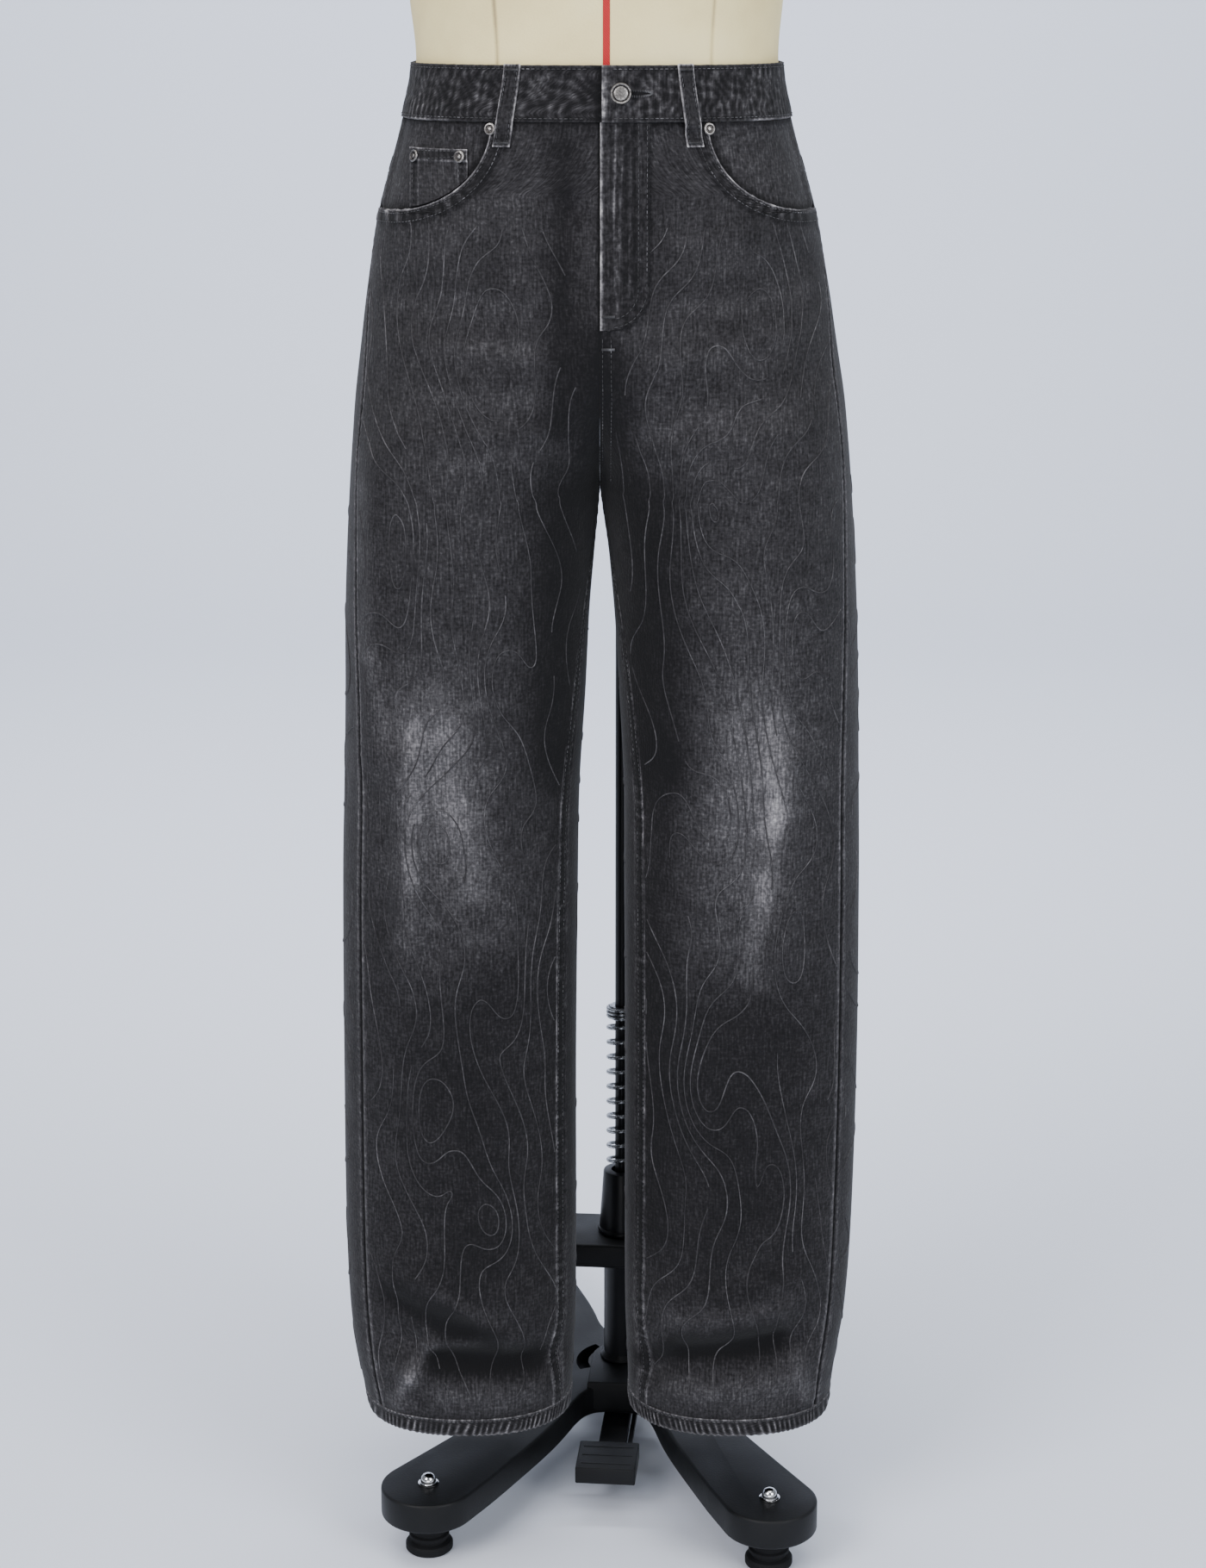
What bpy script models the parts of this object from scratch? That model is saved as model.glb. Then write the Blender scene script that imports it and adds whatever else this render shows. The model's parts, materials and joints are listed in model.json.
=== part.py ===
"""Wide leg jeans, cut and sewn from flat pieces, on a limbless torso form with a column stand.

Metres, +Z up, the floor at z = 0. The jeans face -Y, so the wearer's right is at -X.
The upright axis of the stand's base is at x = POST_X, y = 0, behind the seat of the jeans.
"""

import math

import bmesh
import bpy
from mathutils import Matrix, Vector

# ---- cloth ----
CLOTH = 0.0016  # one layer of heavy denim
SEAM = 0.0003  # air between two pieces that are sewn together
LAYER = 0.0012  # a patch that is sewn on top of, or under, a panel
LIFT = 0.0007  # keeps a patch clear of the flat facets of the panel that it lies on
JEANS_Y = -0.155  # the middle of the jeans, in front of the column

# ---- heights of the jeans ----
WAIST_TOP = 1.2245
BAND_HEIGHT = 0.040
BACK_RISE = 0.010  # the waist is this much higher at the centre back
BLEND_TOP = 1.060  # from here down the torso divides into two legs
CROTCH = 0.903
HEM_BOTTOM = 0.1245
HEM_HEIGHT = 0.0145
YOKE_SIDE = 0.040
YOKE_CENTRE = 0.076

# ---- waistband, fly and loops ----
BAND_THICK = 0.0032
BAND_PROUD = 0.0014
LAP_RISE = 0.0036  # the fly end of the waistband lies on the other end
LAP_END = 0.20  # where the under end stops, in panel widths from the centre
FLY_WIDTH = 0.037
FLY_BOTTOM = 1.034
LOOP_WIDTH = 0.012
LOOP_BOTTOM = 1.166
LOOP_THICK = 0.0017

# ---- pockets and metal trim ----
MOUTH_CENTRE_X = 0.172
MOUTH_CENTRE_Z = 1.190
MOUTH_WIDTH = 0.0925
MOUTH_DEPTH = 0.074
MOUTH_ROUND = 0.92
FACING_DEEP = 0.0026
COIN_INNER_X = 0.0985
COIN_OUTER_X = 0.1435
COIN_TOP = 1.164
BACK_POCKET_TOP = 1.104
BACK_POCKET_SIDE = 0.122
BACK_POCKET_POINT = 0.160
RIVET_RADIUS = 0.0045
BUTTON_RADIUS = 0.0078

# ---- torso form ----
FORM_TOP = 1.312
FORM_BOTTOM = 0.960
FORM_SINK = 0.0028  # the form's surface inside the line of the cloth, at the waist

# ---- stand ----
POST_X = 0.0195
BASE_TURN = math.radians(-5.0)
POLE_RADIUS = 0.009
BORE_RADIUS = 0.0094
POLE_BOTTOM = 0.075
POLE_TOP = 1.2747
ARM_WIDTH = 0.024
ARM_LOW = 1.2520
ARM_HIGH = 1.2850
SOCKET_DEPTH = 0.030
TUBE_BOTTOM = 0.1903
TUBE_TOP = 0.250
COLLAR_BOTTOM = 0.3945
SPRING_RADIUS = 0.0126
SPRING_WIRE = 0.0016
SPRING_TURNS = 10
PLATE_BOTTOM = 0.168
PLATE_TOP = 0.190
POST_RADIUS = 0.016
LEG_TOP = 0.060
LEG_BOTTOM = 0.034
PAD_RADIUS = 0.040
HUB_RADIUS = 0.050
FRONT_PADS = (0.144, 0.242)  # sideways and forward of the column
REAR_PADS = (0.128, 0.2434)
FOOT_RADIUS = 0.020
PEDAL_LOW = 0.022
PEDAL_ARM_HIGH = 0.031
PEDAL_WIDTH = 0.024
PEDAL_PLATE = (0.052, 0.050)
PEDAL_PLATE_LOW = 0.0295
PEDAL_PLATE_HIGH = 0.0445
PEDAL_REACH = 0.176
PIVOT_Y = -0.012
PIVOT_Z = 0.0265
PIVOT_RADIUS = 0.003

# Level sections of the garment. The outer and inner columns are distances from the
# centre plane, front and back are distances from the jeans' middle, and middle is the
# place of the widest point. The angles say where the side seam and the inseam run.
SECTION_COLUMNS = (
    "z", "right_outer", "left_outer", "right_inner", "left_inner",
    "front", "middle", "back", "side_angle", "inseam_angle",
)
SECTIONS = (
    (1.3100, 0.1510, 0.1465, 0.0000, 0.0000, 0.1100, 0.000, 0.1050, 88, -90),
    (1.2700, 0.1468, 0.1419, 0.0000, 0.0000, 0.1070, 0.000, 0.1030, 88, -90),
    (1.2245, 0.1429, 0.1391, 0.0000, 0.0000, 0.1050, 0.000, 0.1030, 88, -90),
    (1.1850, 0.1507, 0.1463, 0.0000, 0.0000, 0.1080, 0.000, 0.1070, 88, -90),
    (1.1120, 0.1707, 0.1669, 0.0000, 0.0000, 0.1140, 0.000, 0.1170, 85, -90),
    (1.0600, 0.1800, 0.1774, 0.0000, 0.0000, 0.1185, 0.000, 0.1260, 79, -90),
    (1.0120, 0.1865, 0.1853, 0.0000, 0.0000, 0.1210, 0.000, 0.1300, 72, -90),
    (0.9730, 0.1915, 0.1917, 0.0000, 0.0000, 0.1215, 0.000, 0.1290, 67, -90),
    (0.9350, 0.1948, 0.1958, 0.0000, 0.0000, 0.1215, 0.000, 0.1230, 65, -90),
    (0.9030, 0.1974, 0.1987, 0.0004, 0.0004, 0.1210, 0.000, 0.1160, 63, -90),
    (0.8580, 0.2003, 0.2019, 0.0035, 0.0060, 0.1200, -0.002, 0.1080, 60, -82),
    (0.8000, 0.2030, 0.2052, 0.0083, 0.0115, 0.1180, -0.005, 0.0980, 57, -74),
    (0.7350, 0.2042, 0.2075, 0.0115, 0.0155, 0.1150, -0.009, 0.0880, 54, -67),
    (0.6600, 0.2065, 0.2093, 0.0163, 0.0192, 0.1110, -0.014, 0.0780, 52, -63),
    (0.5860, 0.2090, 0.2108, 0.0178, 0.0197, 0.1080, -0.019, 0.0690, 52, -62),
    (0.4360, 0.2111, 0.2121, 0.0196, 0.0207, 0.1050, -0.025, 0.0560, 52, -62),
    (0.2860, 0.2121, 0.2101, 0.0199, 0.0208, 0.1060, -0.030, 0.0450, 52, -62),
    (0.2120, 0.2099, 0.2057, 0.0205, 0.0212, 0.1095, -0.034, 0.0400, 52, -62),
    (0.1680, 0.2045, 0.1988, 0.0222, 0.0228, 0.1125, -0.037, 0.0370, 52, -62),
    (0.1100, 0.1925, 0.1915, 0.0260, 0.0255, 0.1110, -0.039, 0.0350, 52, -62),
)
SQUARENESS = 0.88  # 1 is an ellipse, less is squarer

# The largest folds: a soft ridge or trough along a line, seen square from the front or
# the back. Each row is the face, the line's ends as x, z, x, z, the half width, and the
# depth, which is positive for a ridge.
FOLDS = (
    ("front", -0.022, 1.120, -0.027, 0.950, 0.015, -0.0050),  # beside the fly
    ("front", -0.060, 1.030, -0.150, 1.060, 0.020, -0.0025),  # hip pulls
    ("front", -0.050, 0.985, -0.155, 0.985, 0.022, -0.0030),
    ("front", 0.060, 1.045, 0.150, 1.075, 0.020, -0.0025),
    ("front", 0.050, 0.975, 0.160, 0.995, 0.022, -0.0030),
    ("front", -0.172, 0.930, -0.176, 0.700, 0.014, 0.0030),  # beside the side seam
    ("front", -0.152, 0.700, -0.156, 0.530, 0.014, 0.0040),  # knee
    ("front", -0.128, 0.690, -0.131, 0.540, 0.014, -0.0035),
    ("front", 0.147, 0.700, 0.143, 0.540, 0.018, 0.0040),
    ("front", 0.110, 0.640, 0.108, 0.500, 0.018, -0.0030),
    ("front", -0.160, 0.206, -0.040, 0.182, 0.017, -0.0080),  # breaks above the hems
    ("front", -0.150, 0.262, -0.060, 0.236, 0.020, 0.0035),
    ("front", 0.045, 0.180, 0.160, 0.206, 0.017, -0.0080),
    ("front", 0.060, 0.238, 0.150, 0.264, 0.020, 0.0035),
    ("back", -0.150, 0.915, -0.040, 0.880, 0.022, -0.0055),  # under the seat
    ("back", 0.040, 0.880, 0.150, 0.915, 0.022, -0.0055),
    ("back", -0.160, 0.640, -0.060, 0.600, 0.024, -0.0050),  # behind the knees
    ("back", -0.160, 0.540, -0.060, 0.560, 0.024, -0.0040),
    ("back", 0.060, 0.600, 0.160, 0.640, 0.024, -0.0050),
    ("back", 0.060, 0.560, 0.160, 0.540, 0.024, -0.0040),
    ("back", -0.160, 0.225, -0.050, 0.245, 0.020, -0.0070),  # above the hems
    ("back", 0.050, 0.245, 0.160, 0.225, 0.020, -0.0070),
)


# ---------------------------------------------------------------- the cloth's shape


def smooth_step(value):
    value = min(max(value, 0.0), 1.0)
    return value * value * (3.0 - 2.0 * value)


def section(z, column):
    """A column of SECTIONS at any height, on a smooth curve through its rows."""
    index = SECTION_COLUMNS.index(column)
    heights = [row[0] for row in SECTIONS]
    values = [row[index] for row in SECTIONS]
    z = min(max(z, heights[-1]), heights[0])
    last = len(heights) - 1
    row = next((i for i in range(last) if z >= heights[i + 1]), last - 1)

    def slope(i):
        before = max(i - 1, 0)
        after = min(i + 1, last)
        return (values[after] - values[before]) / (heights[after] - heights[before])

    span = heights[row + 1] - heights[row]
    part = (z - heights[row]) / span
    start, end = values[row], values[row + 1]
    start_pull, end_pull = slope(row) * span, slope(row + 1) * span
    return (
        start * (2 * part**3 - 3 * part**2 + 1)
        + start_pull * (part**3 - 2 * part**2 + part)
        + end * (3 * part**2 - 2 * part**3)
        + end_pull * (part**3 - part**2)
    )


def rounded(value):
    return math.copysign(abs(value) ** SQUARENESS, value)


def oval(centre_x, half_x, z, angle):
    """A point of a level section: 0 degrees is the front, 90 the outer side."""
    front, middle, back = (section(z, name) for name in ("front", "middle", "back"))
    across = rounded(math.sin(angle))
    along = rounded(math.cos(angle))
    reach = front + middle if along > 0 else back - middle
    return centre_x + half_x * across, middle - reach * along


def leg_oval(side, z):
    """The middle and half width of the oval that one leg's cloth follows. Over the crotch
    both ovals cross the centre plane, and at the hips they are one."""
    wearer = "left" if side > 0 else "right"
    outer = section(z, wearer + "_outer")
    if z < CROTCH:
        inner = section(z, wearer + "_inner")
        return (outer + inner) / 2, (outer - inner) / 2
    rise = min((z - CROTCH) / (BLEND_TOP - CROTCH), 1.0)
    off_centre = (1.0 - rise) ** 2 * (1.0 + 2.0 * rise)
    half = outer / (1.0 + off_centre)
    return off_centre * half, half


def fold_depth(x, y, z):
    """How far the largest folds move the cloth out at this place."""
    total = 0.0
    facing = "front" if y < section(z, "middle") else "back"
    for face, x0, z0, x1, z1, half_width, depth in FOLDS:
        if face != facing:
            continue
        run_x, run_z = x1 - x0, z1 - z0
        part = ((x - x0) * run_x + (z - z0) * run_z) / (run_x**2 + run_z**2)
        part = min(max(part, 0.0), 1.0)
        away = math.hypot(x - x0 - part * run_x, z - z0 - part * run_z)
        total += depth * math.exp(-((away / half_width) ** 2))
    return total


def bare_point(side, t, z):
    """The garment's outer face without folds. side is +1 for the wearer's left. t goes from
    0 at the centre front or inseam, through 1 at the side seam, to 2 at the centre back."""
    middle, half = leg_oval(side, z)
    seam = math.radians(section(z, "side_angle"))
    start = math.radians(section(z, "inseam_angle"))
    if z >= CROTCH:
        start = -math.asin(min((middle / half) ** (1.0 / SQUARENESS), 1.0))
    end = math.pi - start if z >= CROTCH else 2 * math.pi + start
    angle = start + t * (seam - start) if t <= 1.0 else seam + (t - 1.0) * (end - seam)
    x, y = oval(middle, half, z, angle)
    return Vector((side * x, y, z))


def normal(side, t, z):
    step = 0.004
    low, high = max(t - step, 0.0), min(t + step, 2.0)
    if z < CROTCH:
        low, high = t - step, t + step
    across = bare_point(side, high, z) - bare_point(side, low, z)
    top = z if z < CROTCH else z + 0.002
    up = bare_point(side, t, top) - bare_point(side, t, z - 0.002)
    return (across.cross(up) * side).normalized()


def cloth(side, t, z, out=0.0):
    """A point of the garment's face with its folds, moved out by so much."""
    point = bare_point(side, t, z)
    facing = normal(side, t, z)
    at_centre = z > CROTCH and (t < 0.001 or t > 1.999)
    if at_centre:
        facing.x = 0.0
        facing.normalize()
    fade = min(1.0, abs(facing.y) * 1.6)
    point += facing * (out + fade * fold_depth(point.x, point.y, z))
    limit = SEAM / 2
    if z >= CROTCH - 0.001:
        point.x = side * max(point.x * side, limit)
    return point


def t_at(side, x, z, back=False):
    """Where on the front, or the back, the cloth lies this far from the centre plane."""
    low, high = (1.0, 2.0) if back else (0.0, 1.0)
    for _ in range(30):
        middle = (low + high) / 2
        beyond = abs(bare_point(side, middle, z).x) > x
        if beyond != back:
            high = middle
        else:
            low = middle
    return (low + high) / 2


def band(place, z, out):
    """A point of the waist. place goes once round from 0 at the centre front, over the
    wearer's left side, to 4 at the centre front again."""
    place = place % 4.0
    side, t = (1, place) if place <= 2.0 else (-1, 4.0 - place)
    rise = BACK_RISE * smooth_step(t - 1.0) if z > BLEND_TOP else 0.0
    point = bare_point(side, t, z)
    point.z += rise
    return point + normal(side, t, z) * out


# ---------------------------------------------------------------- building blocks


def material(name, colour, roughness, metallic=0.0):
    made = bpy.data.materials.new(name)
    made.use_nodes = True
    shader = made.node_tree.nodes["Principled BSDF"]
    shader.inputs["Base Color"].default_value = (*colour, 1.0)
    shader.inputs["Roughness"].default_value = roughness
    shader.inputs["Metallic"].default_value = metallic
    made.diffuse_color = (*colour, 1.0)
    return made


def add_object(name, mesh_tools, finish, parent=None, smooth=True):
    """Turns a bmesh into an object, with its faces pointing out."""
    bmesh.ops.recalc_face_normals(mesh_tools, faces=mesh_tools.faces)
    mesh = bpy.data.meshes.new(name)
    mesh_tools.to_mesh(mesh)
    mesh_tools.free()
    mesh.materials.append(finish)
    if smooth:
        mesh.shade_smooth()
        mesh.set_sharp_from_angle(angle=math.radians(40))
    made = bpy.data.objects.new(name, mesh)
    bpy.context.scene.collection.objects.link(made)
    made.parent = parent
    return made


def add_empty(name, place, turn=0.0, parent=None):
    made = bpy.data.objects.new(name, None)
    made.location = place
    made.rotation_euler = (0.0, 0.0, turn)
    made.parent = parent
    bpy.context.scene.collection.objects.link(made)
    return made


def wall(name, outer, inner, finish, parent, closed=False):
    """A closed wall between two grids of points; closed joins each row's ends."""
    tools = bmesh.new()
    faces_out = [[tools.verts.new(point) for point in row] for row in outer]
    faces_in = [[tools.verts.new(point) for point in row] for row in inner]
    rows, columns = len(outer), len(outer[0])
    spans = columns if closed else columns - 1
    for i in range(rows - 1):
        for j in range(spans):
            k = (j + 1) % columns
            for grid in (faces_out, faces_in):
                tools.faces.new((grid[i][j], grid[i][k], grid[i + 1][k], grid[i + 1][j]))
    for i in (0, rows - 1):
        for j in range(spans):
            k = (j + 1) % columns
            tools.faces.new((faces_out[i][j], faces_out[i][k], faces_in[i][k], faces_in[i][j]))
    if not closed:
        for i in range(rows - 1):
            for j in (0, columns - 1):
                tools.faces.new(
                    (faces_out[i][j], faces_out[i + 1][j], faces_in[i + 1][j], faces_in[i][j])
                )
    return add_object(name, tools, finish, parent)


def patch(name, side, rows, out, thick, finish, parent):
    """A layer made from the cloth's own points. rows holds lists of (t, z)."""
    outer = [[cloth(side, t, z, out + thick) for t, z in row] for row in rows]
    inner = [[cloth(side, t, z, out) for t, z in row] for row in rows]
    return wall(name, outer, inner, finish, parent)


def turned(name, profile, segments, finish, parent, frame=None):
    """A solid of revolution about Z from (radius, height) points, given in order. A profile
    that leaves the axis and never comes back is a ring."""
    tools = bmesh.new()
    points = [tools.verts.new((radius, 0.0, height)) for radius, height in profile]
    edges = [tools.edges.new(pair) for pair in zip(points, points[1:])]
    if profile[0][0] > 0.0:
        edges.append(tools.edges.new((points[-1], points[0])))
    bmesh.ops.spin(
        tools, geom=points + edges, cent=(0, 0, 0), axis=(0, 0, 1),
        angle=2 * math.pi, steps=segments, use_merge=True,
    )
    bmesh.ops.remove_doubles(tools, verts=tools.verts, dist=1e-6)
    if frame:
        bmesh.ops.transform(tools, matrix=frame, verts=tools.verts)
    return add_object(name, tools, finish, parent)


def prism(outline, low, high):
    """A bmesh of an upright block on an outline of (x, y) points."""
    tools = bmesh.new()
    floor = tools.faces.new([tools.verts.new((x, y, low)) for x, y in outline])
    raised = bmesh.ops.extrude_face_region(tools, geom=[floor])
    upper = [item for item in raised["geom"] if isinstance(item, bmesh.types.BMVert)]
    bmesh.ops.translate(tools, verts=upper, vec=(0, 0, high - low))
    return tools


def rectangle(x0, x1, y0, y1):
    return [(x0, y0), (x1, y0), (x1, y1), (x0, y1)]


def cut(target, other, operation):
    """Joins another shape to this one, or takes it away. The other is only a helper."""
    change = target.modifiers.new(operation.lower() + "_" + other.name, "BOOLEAN")
    change.operation = operation
    change.object = other
    other.hide_render = True
    other.display_type = "WIRE"


def on_surface(point, facing):
    """A frame whose Z axis points out of the surface."""
    return Matrix.Translation(point) @ facing.to_track_quat("Z", "Y").to_matrix().to_4x4()


# ---------------------------------------------------------------- the jeans


def panel_heights(top, bottom):
    """Row heights of a leg panel: close together where the crotch curve turns."""
    turns = [CROTCH + (BLEND_TOP - CROTCH) * (i / 7) ** 1.6 for i in range(7, -1, -1)]
    above = [top - (top - BLEND_TOP) * i / 4 for i in range(4)]
    knee, break_top = 0.42, 0.30
    thigh = [CROTCH - (CROTCH - knee) * i / 12 for i in range(1, 12)]
    shin = [knee - (knee - break_top) * i / 2 for i in range(2)]
    low = [break_top - (break_top - bottom) * i / 7 for i in range(8)]
    return above + turns + thigh + shin + low


def mouth_height(x):
    """The height of the front pocket's curved mouth at this distance from the centre."""
    across = min(max((MOUTH_CENTRE_X - x) / MOUTH_WIDTH, 0.0), 1.0)
    down = (1.0 - across ** (2 / MOUTH_ROUND)) ** (MOUTH_ROUND / 2)
    return MOUTH_CENTRE_Z - MOUTH_DEPTH * down


def yoke_height(t):
    fall = YOKE_SIDE + (YOKE_CENTRE - YOKE_SIDE) * (t - 1.0)
    return WAIST_TOP - BAND_HEIGHT - fall


def make_front(side, name, denim, parent):
    columns = [i / 12 for i in range(13)]
    edge = 0.0008  # half the seam's gap, as a share of the panel's width
    columns[0], columns[-1] = 0.0, 1.0 - edge
    top = WAIST_TOP - BAND_HEIGHT - SEAM
    heights = panel_heights(top, HEM_BOTTOM + HEM_HEIGHT + SEAM)

    def share(t, z):
        return edge if t == 0.0 and z < CROTCH + 0.0001 else t

    outer = [[cloth(side, share(t, z), z) for t in columns] for z in heights]
    inner = [[cloth(side, share(t, z), z, -CLOTH) for t in columns] for z in heights]
    front = wall(name, outer, inner, denim, parent)

    angles = [math.radians(a) for a in range(0, 91, 10)]
    curve = [
        (
            MOUTH_CENTRE_X - MOUTH_WIDTH * math.cos(a) ** MOUTH_ROUND,
            MOUTH_CENTRE_Z - MOUTH_DEPTH * math.sin(a) ** MOUTH_ROUND,
        )
        for a in angles
    ]
    beyond, above = 0.25, 1.25
    outline = [(curve[0][0], above)] + curve + [(beyond, curve[-1][1]), (beyond, above)]
    tools = prism([(side * x, z) for x, z in outline], 0.0, 0.25)
    upright = Matrix.Rotation(math.radians(90), 4, "X")
    bmesh.ops.transform(tools, matrix=upright, verts=tools.verts)
    bmesh.ops.translate(tools, verts=tools.verts, vec=(0, 0.05, 0))
    cutter = add_object(name + "_mouth_cutter", tools, denim, parent, smooth=False)
    cut(front, cutter, "DIFFERENCE")


def make_back(side, name, denim, parent):
    columns = [1.0 + i / 14 for i in range(15)]
    edge = 0.0006
    columns[0], columns[-1] = 1.0 + edge, 2.0
    plain = panel_heights(BLEND_TOP + 0.001, HEM_BOTTOM + HEM_HEIGHT + SEAM)
    plain = [z for z in plain if z <= BLEND_TOP]
    upper_rows = 3

    def share(t, z):
        return 2.0 - edge if t == 2.0 and z < CROTCH + 0.0001 else t

    rows = []
    for i in range(upper_rows):
        part = i / upper_rows
        row = []
        for t in columns:
            top = yoke_height(t) - SEAM
            row.append((t, top + (BLEND_TOP - top) * part))
        rows.append(row)
    rows += [[(share(t, z), z) for t in columns] for z in plain]
    patch(name, side, rows, -CLOTH, CLOTH, denim, parent)


def make_yoke(side, name, denim, parent):
    columns = [1.0008] + [1.0 + i / 8 for i in range(1, 8)] + [2.0]
    rows_out, rows_in = [], []
    for i in range(3):
        part = i / 2
        points_out, points_in = [], []
        for t in columns:
            rise = BACK_RISE * smooth_step(t - 1.0)
            high = WAIST_TOP - BAND_HEIGHT - SEAM
            z = high + (yoke_height(t) - high) * part
            lift = Vector((0, 0, rise * (1.0 - part)))
            points_out.append(cloth(side, t, z) + lift)
            points_in.append(cloth(side, t, z, -CLOTH) + lift)
        rows_out.append(points_out)
        rows_in.append(points_in)
    wall(name, rows_out, rows_in, denim, parent)


def make_facing(side, name, denim, parent):
    """The denim behind the front pocket's mouth, down to just below it."""
    first, last, low = 0.36, 0.995, 1.098
    high = WAIST_TOP - BAND_HEIGHT - SEAM
    columns = [first + (last - first) * i / 10 for i in range(11)]
    heights = [high, 1.162, 1.139, 1.120, low]

    def depth(t, z):
        """Behind the front, and up to the back's level where it is sewn to the back."""
        rise = smooth_step((t - 0.90) / 0.075) * smooth_step((z - 1.121) / 0.018)
        return -FACING_DEEP * (1.0 - rise)

    outer = [[cloth(side, t, z, depth(t, z)) for t in columns] for z in heights]
    inner = [[cloth(side, t, z, depth(t, z) - LAYER) for t in columns] for z in heights]
    wall(name, outer, inner, denim, parent)


def make_coin_pocket(denim, parent):
    """On the wearer's right facing. Its foot goes down to the big pocket's mouth."""
    clear = 0.0018
    xs = [COIN_INNER_X + (COIN_OUTER_X - COIN_INNER_X) * i / 5 for i in range(6)]
    rows = []
    for i in range(5):
        row = []
        for x in xs:
            low = mouth_height(x) + clear
            z = COIN_TOP + (low - COIN_TOP) * i / 4
            row.append((t_at(-1, x, z), z))
        rows.append(row)
    patch("coin_pocket", -1, rows, -FACING_DEEP + LIFT, LAYER, denim, parent)


def make_fly(denim, parent):
    """The stitched down fly: straight at its edge and round at its foot."""
    high = WAIST_TOP - BAND_HEIGHT - SEAM
    turn_height, foot_width = 0.030, 0.009
    turn_top = FLY_BOTTOM + turn_height
    outline = [(high + (turn_top - high) * i / 4, FLY_WIDTH) for i in range(4)]
    for angle in range(0, 91, 15):
        across, down = math.cos(math.radians(angle)), math.sin(math.radians(angle))
        width = foot_width + (FLY_WIDTH - foot_width) * across
        outline.append((turn_top - turn_height * down, width))
    rows = []
    for z, width in outline:
        row = []
        for j in range(5):
            row.append((t_at(1, max(width * j / 4, 0.0004), z), z))
        rows.append(row)
    patch("fly", 1, rows, LIFT, LAYER, denim, parent)


def make_back_pocket(side, name, denim, parent):
    """Five sided, with its point down. Widths are shares of the back panel's width."""
    centre, top_half, foot_half = 1.605, 0.300, 0.262
    rows = []
    for i in range(9):
        part = i / 8
        row = []
        for j in range(-4, 5):
            across = j / 4
            t = centre + across * (top_half + (foot_half - top_half) * part)
            reach = BACK_POCKET_SIDE + (BACK_POCKET_POINT - BACK_POCKET_SIDE) * (1 - abs(across))
            row.append((t, BACK_POCKET_TOP - part * reach))
        rows.append(row)
    patch(name, side, rows, LIFT + 0.0013, LAYER, denim, parent)


def lap_height(place):
    """The fly end of the waistband lies on top of the under end."""
    if place > 1.0:
        return 0.0
    return LAP_RISE * (1.0 - smooth_step((place - LAP_END - 0.02) / 0.13))


def make_waistband(denim, parent):
    fine = [0.004, 0.05, 0.10, 0.15, 0.19, 0.22, 0.245, 0.27, 0.295, 0.32, 0.35, 0.40, 0.45]
    start, end = 0.5, 3.95
    plain = [start + (end - start) * i / 44 for i in range(45)]
    places = fine + plain + [4.0, 4.05, 4.10, 4.15, 4.0 + LAP_END]
    low, high = WAIST_TOP - BAND_HEIGHT, WAIST_TOP
    heights = [high, (low + high) / 2, low]
    outer, inner = [], []
    for z in heights:
        proud = [BAND_PROUD + lap_height(p) for p in places]
        outer.append([band(p, z, out) for p, out in zip(places, proud)])
        inner.append([band(p, z, out - BAND_THICK) for p, out in zip(places, proud)])
    wall("waistband", outer, inner, denim, parent)


def make_belt_loop(name, place, slant, denim, parent):
    """A strip over the waistband, caught down on the panel below it."""
    high = WAIST_TOP + 0.001
    steps = 9
    side, t = (1, place) if place <= 2 else (-1, 4 - place)
    width = (bare_point(side, t + 0.01, 1.2) - bare_point(side, t - 0.01, 1.2)).length / 0.02
    half = LOOP_WIDTH / 2 / width
    outer, inner = [], []
    for i in range(steps):
        z = high + (LOOP_BOTTOM - high) * i / (steps - 1)
        settle = smooth_step((z - (WAIST_TOP - BAND_HEIGHT - 0.010)) / 0.008)
        middle = place + slant * i / (steps - 1)
        row = [middle - half, middle, middle + half]
        out = [LIFT + settle * (BAND_PROUD + lap_height(p)) for p in row]
        outer.append([band(p, z, o + LOOP_THICK) for p, o in zip(row, out)])
        inner.append([band(p, z, o) for p, o in zip(row, out)])
    wall(name, outer, inner, denim, parent)


def make_hem(side, name, denim, parent):
    """The turned up edge of one leg, a ring of three layers of cloth."""
    proud, thick, count = 0.0006, 0.0030, 44
    heights = [HEM_BOTTOM + HEM_HEIGHT, HEM_BOTTOM + HEM_HEIGHT * 0.5, HEM_BOTTOM]
    places = [2.0 * i / count for i in range(count)]
    outer = [[cloth(side, t, z, proud) for t in places] for z in heights]
    inner = [[cloth(side, t, z, proud - thick) for t in places] for z in heights]
    wall(name, outer, inner, denim, parent, closed=True)


def make_rivet(name, side, x, z, out, metal, parent):
    t = t_at(side, x, z)
    frame = on_surface(cloth(side, t, z, out + SEAM), normal(side, t, z))
    r = RIVET_RADIUS
    profile = [(0, 0), (r, 0), (r, 0.0006), (r * 0.8, 0.0013), (r * 0.4, 0.0012), (0, 0.0017)]
    turned(name, profile, 16, metal, parent, frame)


def make_button(metal, parent):
    x, z = 0.0152, 1.2044
    t = t_at(1, x, z)
    facing = normal(1, t, z)
    out = BAND_PROUD + LAP_RISE + SEAM
    frame = on_surface(bare_point(1, t, z) + facing * out, facing)
    r = BUTTON_RADIUS
    profile = [
        (0, 0), (r * 0.45, 0), (r * 0.45, 0.0012), (r * 0.9, 0.0014), (r, 0.0024),
        (r * 0.95, 0.0036), (r * 0.84, 0.0040), (r * 0.74, 0.0034), (r * 0.4, 0.0036), (0, 0.0038),
    ]
    turned("button", profile, 24, metal, parent, frame)


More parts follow.
